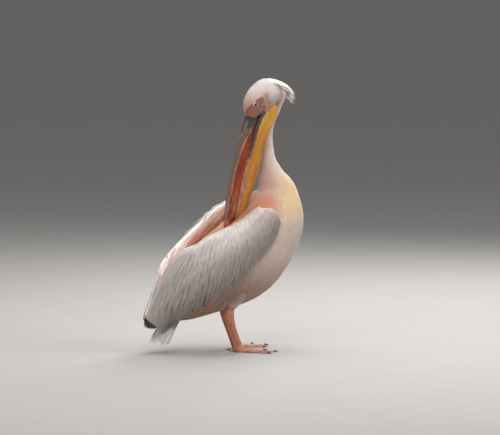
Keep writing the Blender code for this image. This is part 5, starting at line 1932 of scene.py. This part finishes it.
def skin_spots(rng, per_area):
    """Places spread evenly over the skin, each at a random spot of one of its triangles, and the
    way out there."""
    points, _, faces = mesh_arrays(bpy.data.objects["skin"].data)
    points = points - STANCE
    faces = [part[:, corners] for part in faces
             for corners in ([0, 1, 2], [0, 2, 3])[:part.shape[1] - 2]]
    a, b, c = np.moveaxis(points[np.concatenate(faces)], 1, 0)
    way_out = np.cross(b - a, c - a)
    area = np.linalg.norm(way_out, axis=1) / 2
    size = int(area.sum() * per_area)
    pick = rng.choice(len(area), size, p=area / area.sum())
    f, g = rng.random((2, size))
    f, g = np.where(f + g > 1, 1 - f, f)[:, None], np.where(f + g > 1, 1 - g, g)[:, None]
    return a[pick] * (1 - f - g) + b[pick] * f + c[pick] * g, unit(way_out[pick])


def by_hip(spot):
    """Whether a spot lies within a thigh's rings, widened a little."""
    rows = np.array(THIGH)[::-1]
    hip = np.stack([np.interp(spot[:, 2], rows[:, 2], rows[:, i]) for i in (0, 1, 3, 4)])
    shift = np.where(spot[:, 1] > 0, HEEL_X["left"] - HEEL_X["right"], 0.0)
    return np.hypot((spot[:, 0] - hip[0] - shift) / (hip[3] + 0.008),
                    (np.abs(spot[:, 1]) - hip[1]) / (hip[2] + 0.008)) < 1


def down_neck(spot):
    """The way down the body's line where it is nearest to each spot."""
    _, fine = BODY_LINE
    near = ((spot[:, None] - fine[None, ::16, :3]) ** 2).sum(-1).argmin(1) * 16
    return unit(fine[np.maximum(near - 8, 0), :3] - fine[np.minimum(near + 8, len(fine) - 1), :3])


def build_seam_plumage(sizes):
    """Where the head meets the neck and the thighs the trunk, short vanes rooted on the skin
    itself: each starts at a spot of one of its triangles and lies down the neck or the thigh."""
    rng = np.random.default_rng(19)
    spot, out = skin_spots(rng, 290000)
    size = len(spot)
    along, height, left = to_head(spot)
    head, trunk = head_share(along, height, left), body_share(spot)
    crease = hump(line_distance(along, height, CHEEK_CREASE), 0, CREASE_HALF) > 0.25
    nape = (head < 1.16) & ((trunk < 1.16) | crease & (np.abs(left) > 0.003)) & (trunk > 0.96)
    nape &= (bare_depth(along, height, left) < -0.001) & (along < -0.02)
    thigh = by_hip(spot) & (spot[:, 2] > 0.132) & (spot[:, 2] < 0.215)
    thigh &= (trunk > 0.98) & (trunk < 1.7) & (rng.random(size) < 0.34)
    back = -(FLOW[0] * AIM + FLOW[1] * CROWN + FLOW[2] * LEFT)
    up = out[:, 2]
    for name, part, way, long, wide, lift, look in (
            ("nape_plumage", nape, unit(down_neck(spot) + back), 0.0105, 0.00075, 0.0022, "fine"),
            ("hip_plumage", thigh, np.tile(unit(np.array([-0.28, 0.0, -1.0])), (size, 1)),
             0.021, 0.0014, 0.0042, "down")):
        n = out[part]
        way = way[part] + 0.14 * rng.normal(size=n.shape)
        way = unit(way - n * (way * n).sum(1, keepdims=True))
        long = long * (0.7 + 0.6 * rng.random((len(n), 1)))
        lift = lift * (0.7 + 0.6 * rng.random((len(n), 1)))
        root = spot[part] - 0.0007 * n
        half = wide * (0.8 + 0.4 * rng.random(len(n)))
        knee, tip = root + 0.5 * way * long + 0.9 * lift * n, root + way * long + lift * n
        strands = curls(root, knee, tip, half, 0.25 * half, n, 4)
        # The hip vanes are taken as facing down, so they get the underparts' painted shade.
        tint = body_tint(spot[part], up[part] if name == "nape_plumage" else up[part] * 0 - 0.4)
        on_head, _ = head_tint(along[part], height[part], left[part])
        tint = blend(tint, on_head, smooth(1.25 - head[part], 0.0, 0.22))
        if name == "hip_plumage":
            tint = blend(paint("breast", len(n)), tint, smooth(spot[part][:, 2], *THIGH_FADE))
        unwrap = (np.clip(0.5 + 4 * spot[part][:, 1], 0, 1), np.clip(spot[part][:, 2], 0, 1))
        plume_pieces(name, strands, tint, unwrap, FINISHES[look](), rng, contrast=0.045)


CREST_LOCKS = (  # along and height of its tip, and where on the hind crown it grows
    (-0.097, -0.157, 0.05), (-0.087, -0.165, 0.25), (-0.075, -0.171, 0.4),
    (-0.061, -0.169, 0.6), (-0.071, -0.143, 0.85), (-0.083, -0.147, 0.7),
)


def build_crest(sizes):
    """Crest: loose plumes that leave the hind crown along its curve and hang past the nape, in a
    few pointed locks."""
    rng = np.random.default_rng(14)
    locks = np.array(CREST_LOCKS)
    size = sizes.crest_plumes
    lock = rng.integers(0, len(locks), size)
    f = np.clip(locks[lock, 2] + 0.16 * rng.normal(size=size), 0, 1)
    along = -0.12 + 0.032 * f + 0.003 * rng.normal(size=size)
    height = -0.046 - 0.056 * f ** 0.9
    left = (0.02 - 0.004 * f) * (2 * rng.random(size) - 1)
    middle = HEAD_MIDDLE[:2]
    ray = np.stack([along - middle[0], height - middle[1]], axis=1)
    reach = np.linspace(0.3, 1.3, 60)
    inside = head_share(middle[0] + ray[:, :1] * reach, middle[1] + ray[:, 1:] * reach,
                        np.repeat(left[:, None], 60, axis=1)) < 1
    last = reach[np.maximum(inside.sum(1) - 1, 0)]
    along, height = middle[0] + ray[:, 0] * last, middle[1] + ray[:, 1] * last
    roots = in_head(along, height, left)
    spread = rng.normal(size=(size, 3)) * (0.002, 0.0022, 0.0055)
    short = 0.58 + 0.42 * rng.random(size) ** 0.6
    end = locks[lock, :2] + spread[:, :2]
    start = np.stack([along, height], axis=1)
    end = start + (end - start) * short[:, None]
    tips = in_head(end[:, 0], end[:, 1], 0.4 * left + spread[:, 2])
    deep = rng.random(size) ** 1.5
    knees = in_head((along + end[:, 0]) / 2 - 0.019 + 0.008 * f + 0.012 * deep,
                    (height + end[:, 1]) / 2 - 0.009 + 0.004 * f + 0.004 * deep, 0.8 * left)
    half = 0.0019 + 0.0014 * rng.random(size)
    out = -0.6 * CROWN - 0.5 * AIM + 0.25 * LEFT * np.sign(left)[:, None] + 0 * roots
    strands = curls(roots, knees, tips, half, 0.35 * half, unit(out), 9)
    tint = layers(paint("crown", size), ("white", np.full(size, 0.6))) * 0.97
    unwrap = (np.clip(0.5 + left * 8, 0, 1), np.clip(f, 0, 1))
    plume_pieces("crest_plumes", strands, tint, unwrap, FINISHES["crest"](), rng,
                 ("crest",), contrast=0.05)


def wing_lie(u, w, t, aside, inner):
    """Unit shares of the way along and across a wing. From the top edge the vanes run down across
    it, then turn back towards the tip, more so low and far along; on the inner side of the ridge
    they run straight back. aside turns a vane within that."""
    high = np.clip(w / 0.8, 0, 1)
    k = (0.15 + 0.85 * (1 - high) + 2.6 * smooth(u, 0.45, 1.0) * high ** 1.5
         + 0.35 * smooth(u, 0.5, 1.0) + 0.28 * t)
    back = smooth(w, *inner)
    a, b = k * (1 - back) + back, -(1 - back) + 0.06 * back
    a, b = a / np.hypot(a, b), b / np.hypot(a, b)
    return a - b * aside, b + a * aside


def wing_locks(form, inner, rng, gaps, strands, spread, reach, length_at, span):
    """Vanes in locks: each lock's vanes start side by side, staggered along its way, and close
    together towards their tips. Returns the roots, each vane's turn aside, its length, cut off
    where its way leaves the wing, and a number of its lock."""
    u, w = sow(form, 0.012, 0.97, lambda p: gaps[0] * (0.62 + 0.38 * float(smooth(p, 0.05, 0.45))),
               lambda p: gaps[1] * (0.55 + 0.45 * float(smooth(p, 0.05, 0.45))), rng, span=span)
    lock = np.repeat(np.arange(len(u)), strands)
    size = len(lock)
    turn = 0.045 * rng.normal(size=len(u))[lock]
    u, w = u[lock], w[lock]
    _, along, round_, _ = form.frame(u, w)
    size_u, size_w = np.linalg.norm(along, axis=1), np.linalg.norm(round_, axis=1)
    a, b = wing_lie(u, w, 0.0, 0.0, inner)
    young = 0.55 + 0.45 * smooth(u, 0.05, 0.45)
    beside = spread * young * (np.tile(np.linspace(-1, 1, strands), len(lock) // strands)
                               + 0.25 * rng.normal(size=size))
    behind = reach * young * (rng.random(size) - 0.5)
    u = u + (-b * beside - a * behind) / size_u
    w = w + (a * beside - b * behind) / size_w
    length = length_at(u, w) * (0.85 + 0.3 * rng.random(size))
    turn = turn - 0.55 * beside / np.maximum(length, 0.02)
    at_u, at_w, left = u, w, np.ones(size)
    for step in range(10):
        _, along, round_, _ = form.frame(at_u, at_w)
        a, b = wing_lie(at_u, at_w, step / 10, turn, inner)
        at_u = at_u + 0.1 * length * a / np.linalg.norm(along, axis=1)
        at_w = at_w + 0.1 * length * b / np.linalg.norm(round_, axis=1)
        gone = ((at_u > 1.0) | (at_w < -0.02)) & (left > 0.999)
        left = np.where(gone, (step + 1) / 10, left)
    length = length * left
    kept = (length > 0.008) & (u > 0.004) & (u < 0.99) & (w > 0.0)
    return u[kept], w[kept], turn[kept], length[kept], lock[kept]


WING_INNER = {"right": (0.8, 1.0), "left": (0.66, 0.82)}


def build_wing_plumage(sizes):
    """Wings: long narrow vanes in pointed locks, small at the wrist and drawn out towards the hem
    and tip."""
    for side, form in WING_FORMS.items():
        rng = np.random.default_rng(15 if side == "left" else 16)
        inner = WING_INNER[side]

        def length_at(u, w):
            far = smooth(u, 0.0, 0.4)
            return (0.022 + 0.026 * far + 0.016 * smooth(0.5 - w, 0.0, 0.4) * far
                    + 0.016 * smooth(u, 0.6, 1.0)) * sizes.wing_length

        u, w, turn, length, lock = wing_locks(form, inner, rng, (0.009, 0.019), 5, 0.0042,
                                              0.02, length_at, (0.03, LAST_W))
        size = len(u)
        place, _, _, _ = form.frame(u, w)
        far = smooth(u, 0.0, 0.4)
        half = (0.0011 + 0.0008 * far) * (0.8 + 0.4 * rng.random(size))
        lift = rng.random(lock.max() + 1)[lock]
        low = smooth(0.55 - w, 0.0, 0.5)
        vary = 0.8 + 0.25 * lift + 0.15 * rng.random(size)
        coat = (0.0016 + 0.0006 * far + 0.0012 * far * low) * vary
        strands = vanes(form, u, w, lambda p, q, t: wing_lie(p, q, t, turn, inner), length,
                        half, 0.2 * half, lambda t: -0.0007 + coat * t ** 0.6, 7, taper=0.7)
        tone = 1 + (0.03 + 0.05 * low) * rng.normal(size=lock.max() + 1)[lock]
        plume_pieces(f"wing_{side}_plumage", strands, wing_tint(place, u, w) * tone[:, None],
                     form.unwrap(u, w), FINISHES["wing"](), rng, contrast=0.05)


def build_far_bristles(sizes):
    """Loose white feathers that stand up along the far wing's ridge."""
    form, size = WING_FORMS["left"], 420
    rng = np.random.default_rng(17)
    u, w = 0.03 + 0.66 * rng.random(size) ** 1.1, 0.64 + 0.2 * rng.random(size)
    length = 0.036 + 0.018 * rng.random(size)
    half = 0.0022 + 0.0012 * rng.random(size)
    turn = 0.14 * rng.normal(size=size)
    lift = (0.006 + 0.018 * rng.random(size) ** 1.3) * (1 - 0.75 * smooth(u, 0.25, 0.6))

    def bristling(p, q, t):
        return 0.88 - turn, -0.47 - turn

    strands = vanes(form, u, w, bristling, length, half, 0.3 * half,
                    lambda t: 0.001 + lift * t ** 1.3, 8, taper=0.75)
    plume_pieces("wing_left_bristles", strands, paint("white", size),
                 form.unwrap(u, w), FINISHES["wing"](), rng, contrast=0.03)


def build_far_drape(sizes):
    """Long white feathers from the far wing's ridge, draped over its inner side."""
    form, size = WING_FORMS["left"], 330
    rng = np.random.default_rng(18)
    u = 0.04 + 0.7 * rng.random(size)
    w = 0.8 + 0.3 * rng.random(size)
    length = (0.04 + 0.026 * rng.random(size)) * (1 - 0.25 * u)
    half = 0.0024 + 0.0014 * rng.random(size)
    turn = 0.08 * rng.normal(size=size)
    lift = 0.003 + 0.0022 * rng.random(size)

    def draped(p, q, t):
        return 0.9 - turn, 0.3 * smooth(1.2 - q, 0.0, 0.15) + turn

    strands = vanes(form, u, w, draped, length, half, 0.12 * half,
                    lambda t: -0.0005 + lift * t ** 0.8, 7, taper=0.8)
    tint = blend(paint("white", size), (hue("apricot") + hue("tan")) / 2,
                 0.7 * smooth(w + 0.03 * rng.normal(size=size), 1.0, 1.06))
    plume_pieces("wing_left_drape", strands, tint,
                 form.unwrap(u, w), FINISHES["crest"](), rng, contrast=0.03)


def build_quills(sizes):
    """Folded primaries: dark vanes fanned a little, their tips out beyond the wing's end."""
    for side in SIDES:
        rng = np.random.default_rng(21)
        count = 6
        share = np.linspace(-1, 1, count)
        root, tip = (np.array(p) for p in PRIMARIES)
        across = unit(np.cross(tip - root, (0.0, 1.0, 0.0)))
        fan, left = share[:, None], np.array([0, 1, 0])
        roots = root + across * (0.012 * fan) + left * (0.0035 * fan)
        tips = tip + across * (0.016 * fan) + left * (0.004 * fan)
        reach = 0.86 + 0.14 * (1 - share ** 2) + 0.03 * rng.random(count)
        tips = roots + (tips - roots) * reach[:, None]
        knees = (roots + tips) / 2 + np.array([0, 0.004, 0.004])
        half = np.full(count, 0.0098)
        strands = curls(roots, knees, tips, half, 0.1 * half,
                        np.tile([0.0, 1.0, 0.3], (count, 1)), 14, taper=1.9)
        strands = mirror_y(strands, side)
        if side == "right":
            strands = strands[:, :, ::-1]
        unwrap = ((share + 1) / 2, np.full(count, 0.5))
        tint = paint("quill", count)
        plume_pieces(f"wing_{side}_quills", strands, tint, unwrap, FINISHES["quill"](),
                     rng, (f"wing_{side}_primaries",), contrast=0.08)


def build_tail_plumage(sizes):
    """Tail: two layers of broad vanes fanned over its sheet, and coverts
    over their roots above and below."""
    rng = np.random.default_rng(22)
    for name, count, side, reach, half in (("upper", 22, 1.0, 1.02, 0.0066),
                                           ("lower", 20, -1.0, 0.99, 0.0064)):
        v = np.linspace(-0.98, 0.98, count)
        form = Form(tail_place, TAIL_FORM.unwrap, side * np.sign(
            (TAIL_FORM.frame(np.zeros(1), np.zeros(1))[3] @ TAIL_UP)[0]), (1e-2, 1e-2))
        length = np.linalg.norm(TAIL_TIP - TAIL_ROOT) * reach * (1 - 0.13 * v ** 2)
        length = length * (0.94 + 0.08 * rng.random(count))
        rise_at = 0.0012 + 0.001 * rng.random(count)
        strands = vanes(form, np.full(count, 0.02), v, lambda p, q, t: (np.ones(count), 0 * v),
                        length, np.full(count, half), np.full(count, 0.0012),
                        lambda t: rise_at + 0.0015 * (1 - t), 14, taper=1.15)
        tint = blend(paint("white", count), hue("stone"), 0.35 * rng.random(count))
        plume_pieces(f"tail_{name}_feathers", strands, tint,
                     form.unwrap(np.full(count, 0.3), v), FINISHES["wing"](), rng,
                     ("tail",), contrast=0.07)
        size = 420
        u, v = 0.62 * rng.random(size) ** 1.4, 1.9 * rng.random(size) - 0.95
        length = 0.026 + 0.02 * rng.random(size)
        half_width = 0.0026 + 0.0012 * rng.random(size)
        drift = 0.08 * rng.normal(size=size)
        coat = 0.0072 * (1 - 0.6 * u) * (0.7 + 0.5 * rng.random(size))
        strands = vanes(form, u, v, lambda p, q, t: (np.ones(size), drift), length, half_width,
                        0.3 * half_width, lambda t: 0.004 + coat * (1 - 0.75 * t), 6)
        tint = blend(paint("white", size), hue("apricot" if side < 0 else "stone"),
                     0.5 * (1 - u))
        plume_pieces(f"tail_{name}_coverts", strands, tint, form.unwrap(u, v), FINISHES["wing"](),
                     rng, contrast=0.1)


# Studio


def hang_lamps(stage):
    """Four square lamps, each turned to the bird's middle."""
    middle = np.array([0.0, 0.0, 0.45])
    for name, place, power, size in (
            ("key", (-1.5, -2.4, 2.8), stage.key, 2.2), ("top", (0.3, 0.4, 3.1), stage.top, 2.6),
            ("rim", (1.9, 1.9, 2.3), stage.rim, 1.6), ("fill", (2.4, -1.8, 2.2), stage.fill, 2.2)):
        lamp = bpy.data.lights.new(name, "AREA")
        lamp.energy, lamp.size = power, size
        lamp.color = (1.0, 0.98, 0.95)
        obj = bpy.data.objects.new(name, lamp)
        obj.location = place
        way = unit(middle - np.array(place))
        obj.rotation_euler = (math.acos(-way[2]), 0.0, math.atan2(way[1], way[0]) - math.pi / 2)
        bpy.context.scene.collection.objects.link(obj)


def aim_camera(stage):
    """The camera, back from its aim beside and above the stance by the distance, with a lens that
    sees the frame's width there."""
    around, raised = math.radians(stage.azimuth), math.radians(stage.elevation)
    right = np.array([math.cos(around), math.sin(around), 0.0])
    up = np.array([-math.sin(around) * math.sin(raised), math.cos(around) * math.sin(raised),
                   math.cos(raised)])
    back = np.cross(right, up)
    aim = STANCE + right * stage.aim_right + up * stage.aim_up
    lens = bpy.data.cameras.new("camera")
    lens.sensor_width = 36.0
    lens.lens = lens.sensor_width * stage.distance / stage.frame_width
    lens.clip_end = 5000.0
    camera = bpy.data.objects.new("camera", lens)
    camera.location = aim + back * stage.distance
    camera.rotation_euler = (math.pi / 2 - raised, 0.0, around)
    bpy.context.scene.collection.objects.link(camera)
    bpy.context.scene.camera = camera


def build_studio(stage):
    """Pale floor, even air, four lamps and the camera."""
    scene = bpy.context.scene
    mesh = bpy.data.meshes.new("floor")
    far = 1500.0
    mesh.from_pydata([(-far, -far, 0), (far, -far, 0), (far, far, 0), (-far, far, 0)], [],
                     [(0, 1, 2, 3)])
    mesh.materials.append(floor_finish(tuple(stage.floor_colour)))
    floor = bpy.data.objects.new("floor", mesh)
    scene.collection.objects.link(floor)
    world = bpy.data.worlds.new("studio air")
    world.use_nodes = True
    ground = world.node_tree.nodes["Background"]
    ground.inputs["Color"].default_value = (0.86, 0.845, 0.835, 1.0)
    ground.inputs["Strength"].default_value = stage.air
    scene.world = world
    scene.view_settings.view_transform = "Standard"
    hang_lamps(stage)
    aim_camera(stage)


# Add-on


def colour_property(words, display):
    """A colour to set, its default from display values."""
    return bpy.props.FloatVectorProperty(name=words, description=f"Colour: {words.lower()}",
                                         subtype="COLOR", size=3, min=0.0, max=1.0,
                                         default=tuple(colour(*display)))


class PelicanColours(bpy.types.PropertyGroup):
    """Colours of skin, plumage, bill and legs"""

    __annotations__ = {name: colour_property(*entry) for name, entry in COLOURS.items()}


def number(words, about, value, **limits):
    """A size or power to set."""
    return bpy.props.FloatProperty(name=words, description=about, default=value, **limits)


LENGTH = {"subtype": "DISTANCE", "unit": "LENGTH"}
LAMP = {"min": 0.0, "unit": "POWER"}


class PelicanSizes(bpy.types.PropertyGroup):
    """Sizes of skin and plumage"""

    skin_voxel: number("Skin lattice", "Lattice on which the skin is grown together", 0.0031,
                       min=0.0015, max=0.01, precision=4, **LENGTH)
    coat_gap: number("Coat gap", "Spacing of body and neck vanes, as a share of their own", 1.03,
                     min=0.6, max=3.0, subtype="FACTOR")
    coat_length: number(
        "Coat length", "Length of body and neck vanes, as a share of their own", 1.0,
        min=0.5, max=1.5, subtype="FACTOR")
    wing_length: number("Wing vane length", "Length of wing vanes, as a share of their own", 1.0,
                        min=0.5, max=1.5, subtype="FACTOR")
    crest_plumes: bpy.props.IntProperty(
        name="Crest plumes", description="Number of loose plumes in the crest", default=400,
        min=20, max=600)


class PelicanStage(bpy.types.PropertyGroup):
    """Floor, lamps and camera"""

    floor_colour: bpy.props.FloatVectorProperty(
        name="Floor", description="Colour of the floor", subtype="COLOR", size=3,
        default=(0.3, 0.295, 0.29), min=0.0, max=1.0)
    air: number("Air", "Strength of the light all round", 0.42, min=0.0)
    key: number("Key lamp", "Power of the main lamp", 70.0, **LAMP)
    top: number("Top lamp", "Power of the lamp above", 108.0, **LAMP)
    rim: number("Rim lamp", "Power of the lamp behind", 90.0, **LAMP)
    fill: number("Fill lamp", "Power of the lamp before the breast", 68.0, **LAMP)
    azimuth: number("Azimuth", "Turn of the camera, degrees", -20.0)
    elevation: number("Elevation", "Rise of the camera, degrees", 5.0)
    distance: number("Distance", "Camera to the bird", 20.0, min=1.0, **LENGTH)
    frame_width: number("Frame width", "Width seen at the bird's distance", 1.6, min=0.1, **LENGTH)
    aim_right: number("Aim right", "Aim to the stance's right", 0.048, **LENGTH)
    aim_up: number("Aim up", "Aim above the stance", 0.424, **LENGTH)


def run_all(context, *builders):
    """Runs the builders in turn with the sizes as set."""
    sizes = context.scene.pelican_sizes
    for build in builders:
        build(sizes)
    return {"FINISHED"}


class PELICAN_OT_skin(bpy.types.Operator):
    """Grow the one skin of trunk, neck, head and thighs"""

    bl_idname = "pelican.skin"
    bl_label = "Skin"

    def execute(self, context):
        return run_all(context, build_skin)


class PELICAN_OT_eyes(bpy.types.Operator):
    """Set both eyes in their sockets"""

    bl_idname = "pelican.eyes"
    bl_label = "Eyes"

    def execute(self, context):
        return run_all(context, build_eyes)


class PELICAN_OT_bill(bpy.types.Operator):
    """Build the upper bill, its nail and the lower bill"""

    bl_idname = "pelican.bill"
    bl_label = "Bill"

    def execute(self, context):
        return run_all(context, build_upper_bill, build_nail, build_jaw)


class PELICAN_OT_pouch(bpy.types.Operator):
    """Hang the pouch under the lower bill"""

    bl_idname = "pelican.pouch"
    bl_label = "Pouch"

    def execute(self, context):
        return run_all(context, build_pouch)


class PELICAN_OT_legs(bpy.types.Operator):
    """Build the shanks"""

    bl_idname = "pelican.legs"
    bl_label = "Legs"

    def execute(self, context):
        return run_all(context, build_legs)


class PELICAN_OT_feet(bpy.types.Operator):
    """Build the webbed feet and their claws"""

    bl_idname = "pelican.feet"
    bl_label = "Feet"

    def execute(self, context):
        return run_all(context, build_feet)


class PELICAN_OT_cores(bpy.types.Operator):
    """Build the bare forms under the plumage of wings and tail"""

    bl_idname = "pelican.cores"
    bl_label = "Wing and tail cores"

    def execute(self, context):
        return run_all(context, build_wing_cores, build_tail_core)


class PELICAN_OT_body_plumage(bpy.types.Operator):
    """Plant the plumage of trunk, neck and thighs"""

    bl_idname = "pelican.body_plumage"
    bl_label = "Body plumage"

    def execute(self, context):
        return run_all(context, build_body_plumage, build_thigh_plumage)


class PELICAN_OT_head_plumage(bpy.types.Operator):
    """Plant the head's short plumage and the crest"""

    bl_idname = "pelican.head_plumage"
    bl_label = "Head plumage and crest"

    def execute(self, context):
        return run_all(context, build_head_plumage, build_seam_plumage, build_crest)


class PELICAN_OT_wing_plumage(bpy.types.Operator):
    """Plant the wings' plumage and the dark quills"""

    bl_idname = "pelican.wing_plumage"
    bl_label = "Wing plumage"

    def execute(self, context):
        return run_all(context, build_wing_plumage, build_far_bristles, build_far_drape,
                       build_quills)


class PELICAN_OT_tail_plumage(bpy.types.Operator):
    """Plant the tail's feathers and coverts"""

    bl_idname = "pelican.tail_plumage"
    bl_label = "Tail plumage"

    def execute(self, context):
        return run_all(context, build_tail_plumage)


class PELICAN_OT_stage(bpy.types.Operator):
    """Lay the floor, hang the lamps and set the camera"""

    bl_idname = "pelican.stage"
    bl_label = "Stage"

    def execute(self, context):
        build_studio(context.scene.pelican_stage)
        return {"FINISHED"}


OPERATORS = (
    PELICAN_OT_stage, PELICAN_OT_skin, PELICAN_OT_eyes, PELICAN_OT_bill, PELICAN_OT_pouch,
    PELICAN_OT_legs, PELICAN_OT_feet, PELICAN_OT_cores, PELICAN_OT_body_plumage,
    PELICAN_OT_head_plumage, PELICAN_OT_wing_plumage, PELICAN_OT_tail_plumage,
)


class PELICAN_PT_panel(bpy.types.Panel):
    """The pelican's pieces, sizes and colours"""

    bl_idname = "PELICAN_PT_panel"
    bl_label = "Preening Pelican"
    bl_space_type = "VIEW_3D"
    bl_region_type = "UI"
    bl_category = "Pelican"

    def draw(self, context):
        for operator in OPERATORS:
            self.layout.operator(operator.bl_idname)
        for group in (context.scene.pelican_sizes, context.scene.pelican_colours,
                      context.scene.pelican_stage):
            box = self.layout.box()
            for key in group.bl_rna.properties.keys():
                if key not in ("rna_type", "name"):
                    box.prop(group, key)


GROUPS = {"pelican_sizes": PelicanSizes, "pelican_colours": PelicanColours,
          "pelican_stage": PelicanStage}


def register():
    for group in GROUPS.values():
        bpy.utils.register_class(group)
    for operator in OPERATORS:
        bpy.utils.register_class(operator)
    bpy.utils.register_class(PELICAN_PT_panel)
    for key, group in GROUPS.items():
        setattr(bpy.types.Scene, key, bpy.props.PointerProperty(type=group))


def unregister():
    for key in GROUPS:
        delattr(bpy.types.Scene, key)
    bpy.utils.unregister_class(PELICAN_PT_panel)
    for each in (*reversed(OPERATORS), *reversed(GROUPS.values())):
        bpy.utils.unregister_class(each)


def main():
    """Registers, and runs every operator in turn."""
    register()
    for operator in OPERATORS:
        _, name = operator.bl_idname.split(".")
        getattr(bpy.ops.pelican, name)()


if __name__ == "__main__":
    main()
